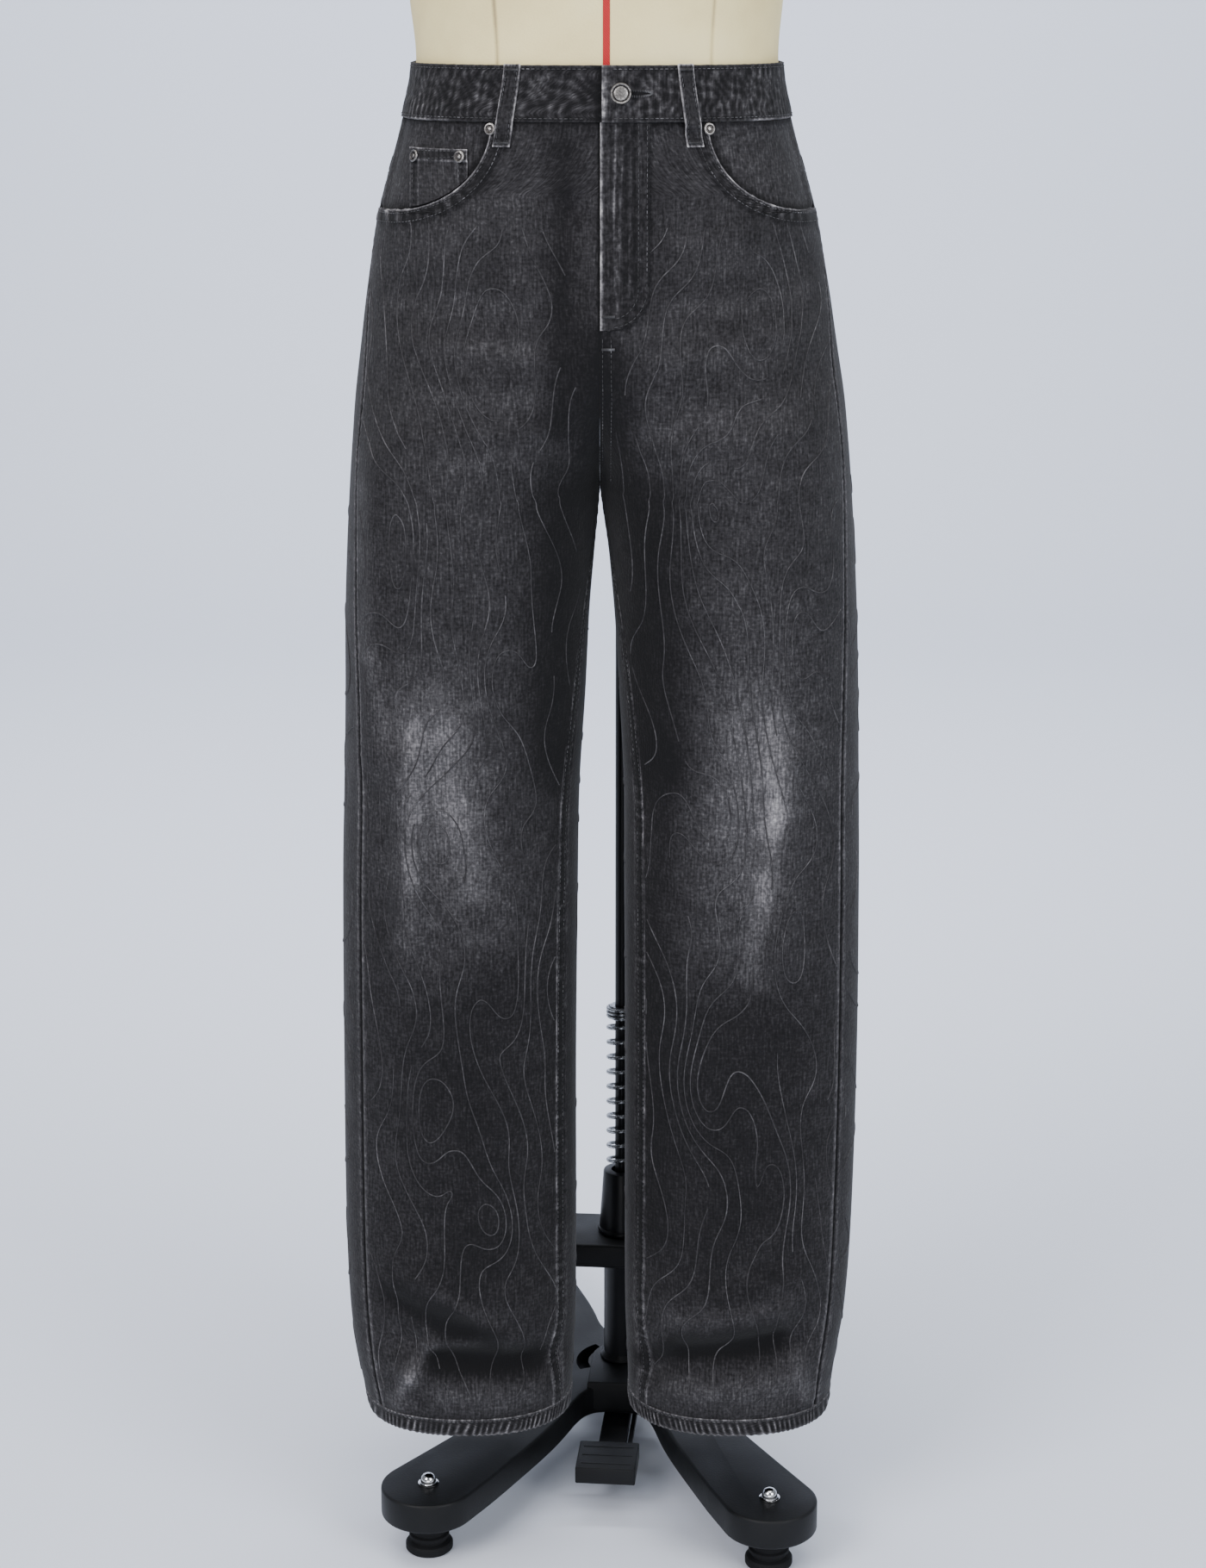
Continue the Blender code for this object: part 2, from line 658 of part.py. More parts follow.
def make_jeans(parent):
    denim = material("washed_black_denim", (0.040, 0.040, 0.045), 0.9)
    metal = material("antique_silver", (0.42, 0.41, 0.40), 0.38, 1.0)
    for side, wearer in ((-1, "right"), (1, "left")):
        make_front(side, "front_" + wearer, denim, parent)
        make_back(side, "back_" + wearer, denim, parent)
        make_yoke(side, "yoke_" + wearer, denim, parent)
        make_facing(side, "pocket_facing_" + wearer, denim, parent)
        make_back_pocket(side, "back_pocket_" + wearer, denim, parent)
        make_hem(side, "hem_" + wearer, denim, parent)
    make_coin_pocket(denim, parent)
    make_fly(denim, parent)
    make_waistband(denim, parent)
    front_place = t_at(1, 0.0615, WAIST_TOP)
    slant = 0.018
    side_place = 1.36
    make_belt_loop("belt_loop_front_left", front_place, slant, denim, parent)
    make_belt_loop("belt_loop_side_left", side_place, 0.0, denim, parent)
    make_belt_loop("belt_loop_centre_back", 2.0, 0.0, denim, parent)
    make_belt_loop("belt_loop_side_right", 4.0 - side_place, 0.0, denim, parent)
    make_belt_loop("belt_loop_front_right", 4.0 - front_place, -slant, denim, parent)
    make_button(metal, parent)
    mouth_x, mouth_z = 0.0805, 1.1790
    coin_out = -FACING_DEEP + LIFT + LAYER
    make_rivet("rivet_mouth_right", -1, mouth_x, mouth_z, 0.0, metal, parent)
    make_rivet("rivet_mouth_left", 1, mouth_x, mouth_z, 0.0, metal, parent)
    make_rivet("rivet_coin_inner", -1, 0.1035, 1.1585, coin_out, metal, parent)
    make_rivet("rivet_coin_outer", -1, 0.1385, 1.1575, coin_out, metal, parent)


# ---------------------------------------------------------------- the form and the stand


def make_form(parent):
    """A smooth torso from above the crotch to a plain cap over the waist."""
    canvas = material("cream_canvas", (0.78, 0.71, 0.56), 0.85)
    rings = (  # height, how far inside the cloth's line
        (FORM_BOTTOM, 0.066), (0.9615, 0.050), (0.968, 0.032), (0.985, 0.019), (1.015, 0.015),
        (1.060, 0.014), (1.110, 0.013), (1.150, 0.010), (1.174, 0.008), (1.1840, 0.0055),
        (1.1865, FORM_SINK), (1.2045, FORM_SINK), (WAIST_TOP, FORM_SINK), (1.270, FORM_SINK),
        (1.303, 0.003), (1.3095, 0.006), (FORM_TOP, 0.012),
    )
    count = 36
    tools = bmesh.new()
    loops = []
    for height, inside in rings:
        loop = []
        for i in range(count):
            place = 4.0 * (i + 0.5) / count
            side, t = (1, place) if place <= 2 else (-1, 4 - place)
            level = max(height, BLEND_TOP)
            point = bare_point(side, t, level) - normal(side, t, level) * inside
            loop.append(tools.verts.new((point.x, point.y, height)))
        loops.append(loop)
    for lower, upper in zip(loops, loops[1:]):
        for i in range(count):
            k = (i + 1) % count
            tools.faces.new((lower[i], lower[k], upper[k], upper[i]))
    tools.faces.new(loops[0])
    tools.faces.new(loops[-1])
    form = add_object("torso_form", tools, canvas, parent)
    return form


def make_arm(form, parent, steel):
    """The bracket from the top of the pole into a socket in the form's back."""
    half = ARM_WIDTH / 2
    back_face = JEANS_Y + section(1.27, "back")
    tip = back_face - SOCKET_DEPTH
    rear = 0.017
    tools = prism(rectangle(-half, half, tip, rear), ARM_LOW, ARM_HIGH)
    arm = add_object("pole_bracket", tools, steel, parent, smooth=False)
    bore = prism_cylinder(BORE_RADIUS, ARM_LOW - 0.01, POLE_TOP + SEAM)
    cut(arm, add_object("bracket_bore", bore, steel, parent, smooth=False), "DIFFERENCE")
    room = SEAM
    tools = prism(
        rectangle(-half - room, half + room, tip - room, back_face + 0.03),
        ARM_LOW - room, ARM_HIGH + room,
    )
    socket = add_object("form_socket", tools, steel, parent, smooth=False)
    cut(form, socket, "DIFFERENCE")


def prism_cylinder(radius, low, high, count=24):
    outline = [
        (radius * math.cos(2 * math.pi * i / count), radius * math.sin(2 * math.pi * i / count))
        for i in range(count)
    ]
    return prism(outline, low, high)


def make_pole(parent, steel):
    r = POLE_RADIUS
    bevel = 0.0015
    profile = [
        (0, POLE_BOTTOM), (r - bevel, POLE_BOTTOM), (r, POLE_BOTTOM + bevel), (r, POLE_TOP), (0, POLE_TOP),
    ]
    turned("pole", profile, 24, steel, parent)
    inner = r + SEAM
    outer = 0.0155
    low, high = COLLAR_BOTTOM, COLLAR_BOTTOM + 0.012
    profile = [
        (inner, low), (outer - 0.001, low), (outer, low + 0.001), (outer, high - 0.001),
        (outer - 0.001, high), (inner, high),
    ]
    turned("spring_collar", profile, 24, steel, parent)


def make_spring(parent):
    """An open coil round the pole, from the tube's top to the collar."""
    steel = material("bright_spring_steel", (0.60, 0.60, 0.60), 0.25, 1.0)
    steps_per_turn, sides = 10, 5
    low = TUBE_TOP + SEAM + SPRING_WIRE
    high = COLLAR_BOTTOM - SEAM - SPRING_WIRE
    count = SPRING_TURNS * steps_per_turn
    tools = bmesh.new()
    loops = []
    for i in range(count + 1):
        angle = 2 * math.pi * i / steps_per_turn
        outward = Vector((math.cos(angle), math.sin(angle), 0))
        centre = outward * SPRING_RADIUS
        centre.z = low + (high - low) * i / count
        loop = []
        for j in range(sides):
            turn = 2 * math.pi * j / sides
            rim = outward * math.cos(turn) + Vector((0, 0, 1)) * math.sin(turn)
            loop.append(tools.verts.new(centre + rim * SPRING_WIRE))
        loops.append(loop)
    for lower, upper in zip(loops, loops[1:]):
        for j in range(sides):
            k = (j + 1) % sides
            tools.faces.new((lower[j], lower[k], upper[k], upper[j]))
    tools.faces.new(loops[0])
    tools.faces.new(loops[-1])
    add_object("spring", tools, steel, parent)


def make_column(parent, black):
    """The fixed tubes that guide the pole, and the plate between them."""
    bore = BORE_RADIUS
    profile = [
        (bore, TUBE_BOTTOM), (0.0205, TUBE_BOTTOM), (0.021, TUBE_BOTTOM + 0.003),
        (0.0172, TUBE_TOP - 0.002), (0.0160, TUBE_TOP), (bore, TUBE_TOP),
    ]
    turned("column_tube", profile, 28, black, parent)
    low, high = LEG_TOP + 0.006 + SEAM, PLATE_BOTTOM - SEAM
    profile = [(bore, low), (POST_RADIUS, low), (POST_RADIUS, high), (bore, high)]
    turned("lower_post", profile, 28, black, parent)

    half, reach = 0.036, 0.105
    round_end = [math.radians(a) for a in range(90, 271, 15)]
    outline = [(-reach + half * math.cos(a), half * math.sin(a)) for a in round_end]
    outline += [(half * math.sin(math.radians(a)), -half * math.cos(math.radians(a)))
                for a in range(0, 181, 15)]
    plate = add_object(
        "cross_plate", prism(outline, PLATE_BOTTOM, PLATE_TOP), black, parent, smooth=False
    )
    hole = prism_cylinder(bore, PLATE_BOTTOM - 0.01, PLATE_TOP + 0.01)
    cut(plate, add_object("plate_hole", hole, black, parent, smooth=False), "DIFFERENCE")
    soften = plate.modifiers.new("softened_edges", "BEVEL")
    soften.width = 0.0012
    soften.segments = 1
    soften.limit_method = "ANGLE"


def leg_outline(pad_x, pad_y, hub_radius):
    """Two circles, at the hub and at the pad, with straight sides between them."""
    far = math.hypot(pad_x, pad_y)
    heading = math.atan2(pad_y, pad_x)
    lean = math.asin((PAD_RADIUS - hub_radius) / far)
    steps = 8
    outline = []
    for i in range(steps + 1):
        a = heading - math.pi / 2 - lean + (math.pi + 2 * lean) * i / steps
        outline.append((pad_x + PAD_RADIUS * math.cos(a), pad_y + PAD_RADIUS * math.sin(a)))
    for i in range(steps + 1):
        a = heading + math.pi / 2 + lean + (math.pi - 2 * lean) * i / steps
        outline.append((hub_radius * math.cos(a), hub_radius * math.sin(a)))
    return outline


def make_base(parent, black):
    """One casting: a raised hub and four legs that end in round pads."""
    chrome = material("chrome", (0.80, 0.80, 0.80), 0.12, 1.0)
    rubber = material("black_rubber", (0.02, 0.02, 0.02), 0.8)
    hub = prism_cylinder(HUB_RADIUS, LEG_BOTTOM + 0.004, LEG_TOP + 0.006, 36)
    base = add_object("base", hub, black, parent, smooth=False)
    pads = (
        ("front_right", -FRONT_PADS[0], -FRONT_PADS[1]),
        ("front_left", FRONT_PADS[0], -FRONT_PADS[1]),
        ("rear_right", -REAR_PADS[0], REAR_PADS[1]),
        ("rear_left", REAR_PADS[0], REAR_PADS[1]),
    )
    for name, x, y in pads:
        tools = prism(leg_outline(x, y, 0.030), LEG_BOTTOM, LEG_TOP)
        cut(base, add_object("leg_" + name, tools, black, parent, smooth=False), "UNION")
        foot = [
            (0, 0), (FOOT_RADIUS - 0.002, 0), (FOOT_RADIUS, 0.002), (FOOT_RADIUS, LEG_BOTTOM - SEAM),
            (0, LEG_BOTTOM - SEAM),
        ]
        turned("foot_" + name, foot, 20, rubber, parent, Matrix.Translation((x, y, 0)))
        nut = [
            (0, 0), (0.0087, 0), (0.0087, 0.0012), (0.0066, 0.0016), (0.0066, 0.0045),
            (0.0045, 0.0080), (0, 0.0090),
        ]
        place = Matrix.Translation((x, y, LEG_TOP + SEAM))
        turned("cap_nut_" + name, nut, 14, chrome, parent, place)

    lug_low, lug_width = 0.019, 0.006
    inner = PEDAL_WIDTH / 2 + SEAM
    bore = prism_cylinder(PIVOT_RADIUS + SEAM, -0.05, 0.05, 16)
    sideways = Matrix.Translation((0, PIVOT_Y, PIVOT_Z)) @ Matrix.Rotation(math.radians(90), 4, "Y")
    bmesh.ops.transform(bore, matrix=sideways, verts=bore.verts)
    for name, x0, x1 in (("left", inner, inner + lug_width), ("right", -inner - lug_width, -inner)):
        lug = prism(rectangle(x0, x1, PIVOT_Y - 0.009, PIVOT_Y + 0.009), lug_low, LEG_BOTTOM + 0.008)
        cut(base, add_object("lug_" + name, lug, black, parent, smooth=False), "UNION")
    cut(base, add_object("pivot_bore", bore, black, parent, smooth=False), "DIFFERENCE")


def make_pedal(parent, black):
    """The foot pedal, about its pivot: an arm, a treadle and the pivot pin in one piece."""
    half = PEDAL_WIDTH / 2
    tread_x, tread_y = PEDAL_PLATE
    tip = -PEDAL_REACH - PIVOT_Y
    low = PEDAL_LOW - PIVOT_Z
    arm = prism(rectangle(-half, half, tip + tread_y / 2, 0.008), low, PEDAL_ARM_HIGH - PIVOT_Z)
    pedal = add_object("pedal", arm, black, parent, smooth=False)
    tread = prism(
        rectangle(-tread_x / 2, tread_x / 2, tip, tip + tread_y),
        PEDAL_PLATE_LOW - PIVOT_Z, PEDAL_PLATE_HIGH - PIVOT_Z,
    )
    cut(pedal, add_object("treadle", tread, black, parent, smooth=False), "UNION")
    pin = prism_cylinder(PIVOT_RADIUS, -half - 0.0058, half + 0.0058, 16)
    bmesh.ops.transform(pin, matrix=Matrix.Rotation(math.radians(90), 4, "Y"), verts=pin.verts)
    cut(pedal, add_object("pivot_pin", pin, black, parent, smooth=False), "UNION")


def main():
    for old in list(bpy.data.objects):
        bpy.data.objects.remove(old, do_unlink=True)
    black = material("black_paint", (0.015, 0.015, 0.017), 0.35)
    steel = material("black_steel", (0.02, 0.02, 0.022), 0.35)

    slide = add_empty("column_slide", (POST_X, 0, 0))
    jeans_middle = add_empty("jeans_middle", (-POST_X, JEANS_Y, 0), parent=slide)
    make_jeans(jeans_middle)
    form = make_form(jeans_middle)
    make_arm(form, slide, steel)
    make_pole(slide, steel)

    base_middle = add_empty("base_middle", (POST_X, 0, 0), BASE_TURN)
    make_spring(base_middle)
    make_column(base_middle, black)
    make_base(base_middle, black)
    pivot = add_empty("pedal_pivot", (0, PIVOT_Y, PIVOT_Z), parent=base_middle)
    make_pedal(pivot, black)


main()
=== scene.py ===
# %% [markdown]
# # Wide leg jeans on a dress form
# Jeans are cut flat and sewn, then a torso form fills them out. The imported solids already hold
# that shape. This lesson lays a thin cloth shell on each of them, adds the creases, puckers
# and stitches that the washing and sewing leave, and gives every surface a worn finish.

# %% Load the frame
import json
import math

import bmesh
import bpy
import numpy as np
from mathutils import Matrix, Vector, noise

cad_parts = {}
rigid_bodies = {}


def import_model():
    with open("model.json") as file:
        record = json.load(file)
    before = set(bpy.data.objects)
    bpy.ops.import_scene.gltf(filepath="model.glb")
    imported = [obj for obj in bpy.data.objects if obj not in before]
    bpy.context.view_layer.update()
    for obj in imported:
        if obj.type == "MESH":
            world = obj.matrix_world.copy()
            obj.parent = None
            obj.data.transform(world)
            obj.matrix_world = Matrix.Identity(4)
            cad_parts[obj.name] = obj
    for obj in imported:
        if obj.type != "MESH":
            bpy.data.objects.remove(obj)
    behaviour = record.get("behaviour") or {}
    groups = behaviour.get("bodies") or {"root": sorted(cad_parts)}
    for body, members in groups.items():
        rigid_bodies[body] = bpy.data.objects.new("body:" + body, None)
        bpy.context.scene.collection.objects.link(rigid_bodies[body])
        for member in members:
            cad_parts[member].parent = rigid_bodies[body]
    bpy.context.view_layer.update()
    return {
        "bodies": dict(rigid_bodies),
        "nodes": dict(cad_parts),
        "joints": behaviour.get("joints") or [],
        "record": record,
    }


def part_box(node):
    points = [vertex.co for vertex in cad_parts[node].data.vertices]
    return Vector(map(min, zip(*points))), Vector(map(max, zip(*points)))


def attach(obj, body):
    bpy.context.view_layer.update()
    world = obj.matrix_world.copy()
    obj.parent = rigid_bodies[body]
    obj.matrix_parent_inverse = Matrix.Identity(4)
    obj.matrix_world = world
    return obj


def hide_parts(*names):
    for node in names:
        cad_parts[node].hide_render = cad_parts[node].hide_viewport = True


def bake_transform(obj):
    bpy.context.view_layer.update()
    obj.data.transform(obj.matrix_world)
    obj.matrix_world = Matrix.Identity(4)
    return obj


for old in list(bpy.data.objects):
    bpy.data.objects.remove(old, do_unlink=True)
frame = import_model()

# %% [markdown]
# ## The sizes of the garment
# The cloth has to lie on the solids, so the same level sections and the same large folds are
# repeated here in metres. Sections are smoothed once into tables, so that numpy can look up
# thousands of heights at a time.

# %% Garment sizes
JEANS_Y = -0.155
WAIST_TOP, BAND_HEIGHT, BACK_RISE = 1.2245, 0.04, 0.01
BLEND_TOP, CROTCH = 1.06, 0.903
HEM_BOTTOM, HEM_HEIGHT = 0.1245, 0.0145
YOKE_SIDE, YOKE_CENTRE = 0.04, 0.076
CLOTH, SEAM, LAYER, LIFT = 0.0016, 0.0003, 0.0012, 0.0007
CENTRE_GAP = 0.00002  # the sewn panels meet at the centre, so that no light shows through
BAND_THICK, BAND_PROUD, LAP_RISE, LAP_END = 0.0032, 0.0014, 0.0036, 0.2
PANEL_TOP = WAIST_TOP - BAND_HEIGHT - SEAM
PANEL_FOOT = HEM_BOTTOM + HEM_HEIGHT + SEAM
MOUTH_X, MOUTH_Z, MOUTH_WIDTH, MOUTH_DEPTH, MOUTH_ROUND = 0.172, 1.19, 0.0925, 0.074, 0.92
FACING_DEEP = 0.0026

SECTIONS = np.array((  # z, right and left outer, right and left inner, front, middle, back, angles
    (1.3100, 0.1510, 0.1465, 0.0000, 0.0000, 0.1100, 0.000, 0.1050, 88, -90),
    (1.2700, 0.1468, 0.1419, 0.0000, 0.0000, 0.1070, 0.000, 0.1030, 88, -90),
    (1.2245, 0.1429, 0.1391, 0.0000, 0.0000, 0.1050, 0.000, 0.1030, 88, -90),
    (1.1850, 0.1507, 0.1463, 0.0000, 0.0000, 0.1080, 0.000, 0.1070, 88, -90),
    (1.1120, 0.1707, 0.1669, 0.0000, 0.0000, 0.1140, 0.000, 0.1170, 85, -90),
    (1.0600, 0.1800, 0.1774, 0.0000, 0.0000, 0.1185, 0.000, 0.1260, 79, -90),
    (1.0120, 0.1865, 0.1853, 0.0000, 0.0000, 0.1210, 0.000, 0.1300, 72, -90),
    (0.9730, 0.1915, 0.1917, 0.0000, 0.0000, 0.1215, 0.000, 0.1290, 67, -90),
    (0.9350, 0.1948, 0.1958, 0.0000, 0.0000, 0.1215, 0.000, 0.1230, 65, -90),
    (0.9030, 0.1974, 0.1987, 0.0004, 0.0004, 0.1210, 0.000, 0.1160, 63, -90),
    (0.8580, 0.2003, 0.2019, 0.0035, 0.0060, 0.1200, -0.002, 0.1080, 60, -82),
    (0.8000, 0.2030, 0.2052, 0.0083, 0.0115, 0.1180, -0.005, 0.0980, 57, -74),
    (0.7350, 0.2042, 0.2075, 0.0115, 0.0155, 0.1150, -0.009, 0.0880, 54, -67),
    (0.6600, 0.2065, 0.2093, 0.0163, 0.0192, 0.1110, -0.014, 0.0780, 52, -63),
    (0.5860, 0.2090, 0.2108, 0.0178, 0.0197, 0.1080, -0.019, 0.0690, 52, -62),
    (0.4360, 0.2111, 0.2121, 0.0196, 0.0207, 0.1050, -0.025, 0.0560, 52, -62),
    (0.2860, 0.2121, 0.2101, 0.0199, 0.0208, 0.1060, -0.030, 0.0450, 52, -62),
    (0.2120, 0.2099, 0.2057, 0.0205, 0.0212, 0.1095, -0.034, 0.0400, 52, -62),
    (0.1680, 0.2045, 0.1988, 0.0222, 0.0228, 0.1125, -0.037, 0.0370, 52, -62),
    (0.1100, 0.1925, 0.1915, 0.0260, 0.0255, 0.1110, -0.039, 0.0350, 52, -62),
))[::-1]
COLUMNS = ("right_outer", "left_outer", "right_inner", "left_inner", "front", "middle", "back",
           "side_angle", "inseam_angle")
SQUARENESS = 0.88


def smoothed(heights, rows, values):
    """A smooth curve through the rows: each slope is that of the line between its neighbours."""
    last = len(rows) - 1
    before = np.clip(np.arange(last + 1) - 1, 0, last)
    after = np.clip(np.arange(last + 1) + 1, 0, last)
    slopes = (values[after] - values[before]) / (rows[after] - rows[before])
    row = np.clip(np.searchsorted(rows, heights, side="right") - 1, 0, last - 1)
    span = rows[row + 1] - rows[row]
    p = (heights - rows[row]) / span
    return (
        values[row] * (2 * p**3 - 3 * p**2 + 1) + slopes[row] * span * (p**3 - 2 * p**2 + p)
        + values[row + 1] * (3 * p**2 - 2 * p**3) + slopes[row + 1] * span * (p**3 - p**2)
    )


TABLE_Z = np.linspace(0.11, 1.31, 4801)
TABLES = {
    name: smoothed(TABLE_Z, SECTIONS[:, 0], SECTIONS[:, i + 1]) for i, name in enumerate(COLUMNS)
}
half_deep = np.interp(WAIST_TOP, TABLE_Z, TABLES["front"])
print("waist:", round(2000 * half_deep), "mm deep, table steps of 0.25 mm")

# %% [markdown]
# ## A point of the cloth
# A place on a leg is a pair: t goes round from the centre front or inseam (0), past the side
# seam (1), to the centre back (2), and z is the height. Each level section is an oval that is
# a little squarer than an ellipse. Over the crotch the two ovals run into each other, and each
# is cut off at the centre plane, which draws the curved crotch seam by itself.


# %% From a place to a point
STEP_ROUND, STEP_UP = 0.004, 0.002


def alike(a, b):
    """Two arrays of one shape."""
    return np.broadcast_arrays(np.asarray(a, float), np.asarray(b, float))


def section(z, name):
    return np.interp(z, TABLE_Z, TABLES[name])


def smooth_step(value):
    value = np.clip(value, 0.0, 1.0)
    return value * value * (3.0 - 2.0 * value)


def hill(distance, width):
    """1 at no distance, and softly down to nothing over about twice this width."""
    return np.exp(-((distance / width) ** 2))


def rounded(value):
    return np.sign(value) * np.abs(value) ** SQUARENESS


def leg_oval(side, z):
    wearer = "left" if side > 0 else "right"
    outer, inner = section(z, wearer + "_outer"), section(z, wearer + "_inner")
    rise = np.clip((z - CROTCH) / (BLEND_TOP - CROTCH), 0.0, 1.0)
    off_centre = (1.0 - rise) ** 2 * (1.0 + 2.0 * rise)
    torso_half = outer / (1.0 + off_centre)
    leg = z < CROTCH
    middle = np.where(leg, (outer + inner) / 2, off_centre * torso_half)
    return middle, np.where(leg, (outer - inner) / 2, torso_half)


def bare(side, t, z):
    """Points of the garment's face without folds, relative to the jeans' middle."""
    t, z = alike(t, z)
    middle, half = leg_oval(side, z)
    seam = np.radians(section(z, "side_angle"))
    start = np.radians(section(z, "inseam_angle"))
    torso = z >= CROTCH
    start = np.where(torso, -np.arcsin(np.clip(middle / half, 0, 1) ** (1 / SQUARENESS)), start)
    end = np.where(torso, math.pi - start, 2 * math.pi + start)
    angle = np.where(t <= 1, start + t * (seam - start), seam + (t - 1) * (end - seam))
    across, along = rounded(np.sin(angle)), rounded(np.cos(angle))
    centre = section(z, "middle")
    reach = np.where(along > 0, section(z, "front") + centre, section(z, "back") - centre)
    return np.stack((side * (middle + half * across), centre - reach * along, z), axis=-1)


def unit(vectors):
    return vectors / np.maximum(np.linalg.norm(vectors, axis=-1, keepdims=True), 1e-12)


def facing(side, t, z):
    """Which way the cloth faces, from a small step across and a small step up."""
    t, z = alike(t, z)
    leg = z < CROTCH
    low = np.where(leg, t - STEP_ROUND, np.maximum(t - STEP_ROUND, 0.0))
    high = np.where(leg, t + STEP_ROUND, np.minimum(t + STEP_ROUND, 2.0))
    across = bare(side, high, z) - bare(side, low, z)
    up = bare(side, t, np.where(leg, z, z + STEP_UP)) - bare(side, t, z - STEP_UP)
    return unit(np.cross(across, up) * side)


def t_at(side, x, z, back=False):
    """Where on the front, or the back, the cloth lies this far from the centre plane."""
    x, z = alike(x, z)
    low = np.full(x.shape, 1.0 if back else 0.0)
    high = low + 1.0
    for _ in range(26):  # each round halves the gap
        middle = (low + high) / 2
        beyond = np.abs(bare(side, middle, z)[..., 0]) > x
        high = np.where(beyond != back, middle, high)
        low = np.where(beyond != back, low, middle)
    return (low + high) / 2


def spread(side, t, z):
    """Metres of cloth for each unit of t, at this place."""
    return np.linalg.norm(bare(side, t + 0.01, z) - bare(side, t - 0.01, z), axis=-1) / 0.02


print("half a hem:", np.round(spread(1, np.array([0.5, 1.5]), 0.13) * 1000), "mm")

# %% [markdown]
# ## Folds placed one by one
# A fold is a soft trough or ridge along a line, seen square from the front or the back. The
# first list repeats the folds that the solids have. The second has the finer creases that only
# the cloth shell gets: hip pulls, ripples down the thighs, knee bags and the break on the hem.

# %% Folds and creases
def on_front(*rows, face="front"):
    """Turns the ends of lines from whole millimetres into metres."""
    return tuple((face, *(place / 1000 for place in row[:4]), *row[4:]) for row in rows)


def on_back(*rows):
    """The back doesn't show, so its lines are the same on both legs."""
    mirrored = tuple((-x0, z0, -x1, z1, *rest) for x0, z0, x1, z1, *rest in rows)
    return on_front(*rows, *mirrored, face="back")


FOLDS = on_front(  # x, z, x, z in mm, then half width and depth in metres (positive is a ridge)
    (-22, 1120, -27, 950, 0.015, -0.005), (-60, 1030, -150, 1060, 0.02, -0.0025),
    (-50, 985, -155, 985, 0.022, -0.003), (60, 1045, 150, 1075, 0.02, -0.0025),
    (50, 975, 160, 995, 0.022, -0.003), (-172, 930, -176, 700, 0.014, 0.003),
    (-152, 700, -156, 530, 0.014, 0.004), (-128, 690, -131, 540, 0.014, -0.0035),
    (147, 700, 143, 540, 0.018, 0.004), (110, 640, 108, 500, 0.018, -0.003),
    (-160, 206, -40, 182, 0.017, -0.008), (-150, 262, -60, 236, 0.02, 0.0035),
    (45, 180, 160, 206, 0.017, -0.008), (60, 238, 150, 264, 0.02, 0.0035),
) + on_back(
    (40, 880, 150, 915, 0.022, -0.0055), (60, 600, 160, 640, 0.024, -0.005),
    (60, 560, 160, 540, 0.024, -0.004), (50, 245, 160, 225, 0.02, -0.007),
)
CREASES = on_front(
    # pulls from the fly and pockets
    (-20, 1165, -55, 1120, 0.008, -0.0009), (-24, 1095, -80, 1085, 0.007, 0.0009),
    (-30, 1060, -110, 1068, 0.007, 0.001), (-34, 1010, -140, 1022, 0.007, 0.0011),
    (-40, 957, -150, 952, 0.008, 0.0012), (45, 1090, 120, 1105, 0.007, 0.0009),
    (42, 1008, 150, 1030, 0.007, 0.0011), (35, 942, 150, 958, 0.008, 0.0012),
    # the crotch
    (10, 985, 40, 925, 0.008, -0.0016), (-10, 960, -40, 900, 0.008, -0.0014),
    # ripples down the thighs
    (-90, 890, -105, 760, 0.014, -0.0012), (-125, 860, -135, 740, 0.011, 0.0012),
    (85, 880, 100, 750, 0.014, -0.0012), (135, 860, 150, 730, 0.011, 0.0012),
    (30, 800, 42, 640, 0.012, -0.0014), (-35, 800, -46, 640, 0.012, -0.0012),
    # the knees
    (-166, 660, -170, 560, 0.007, -0.0016), (-142, 620, -146, 470, 0.008, 0.0014),
    (-112, 600, -105, 470, 0.01, 0.0014), (-92, 610, -80, 500, 0.01, -0.0012),
    (160, 690, 166, 560, 0.007, -0.0014), (126, 670, 128, 520, 0.009, -0.0012),
    (78, 600, 90, 480, 0.01, 0.0012),
    # the shins
    (-150, 440, -160, 330, 0.012, -0.0012), (-70, 420, -58, 320, 0.012, 0.001),
    (150, 430, 160, 320, 0.012, 0.001), (85, 400, 72, 310, 0.012, -0.001),
    # over and under the breaks
    (-168, 148, -157, 176, 0.007, 0.003), (-157, 176, -140, 203, 0.008, 0.0044),
    (-140, 203, -100, 210, 0.008, 0.0044), (-134, 191, -56, 184, 0.01, -0.007),
    (-170, 240, -106, 216, 0.009, -0.0036), (-150, 262, -110, 236, 0.007, 0.0024),
    (-110, 236, -70, 204, 0.007, 0.0026), (-120, 160, -55, 160, 0.011, 0.0022),
    (64, 196, 146, 206, 0.01, -0.007), (34, 164, 62, 191, 0.008, -0.0028),
    (68, 222, 155, 236, 0.009, 0.0028), (60, 160, 150, 170, 0.012, 0.0024),
    (160, 190, 172, 150, 0.007, 0.0024), (100, 262, 160, 280, 0.01, -0.0018),
    (-80, 330, -150, 300, 0.012, -0.0012),
) + on_back(
    # under the seat
    (30, 915, 155, 945, 0.011, 0.002), (60, 868, 140, 850, 0.012, -0.0025),
    (110, 820, 100, 690, 0.016, 0.002),
    # behind the knees
    (70, 575, 165, 600, 0.012, 0.0026), (80, 520, 150, 500, 0.012, -0.0024),
    (120, 450, 130, 300, 0.016, 0.0018),
    # over the hems
    (60, 212, 165, 200, 0.01, 0.0028),
)


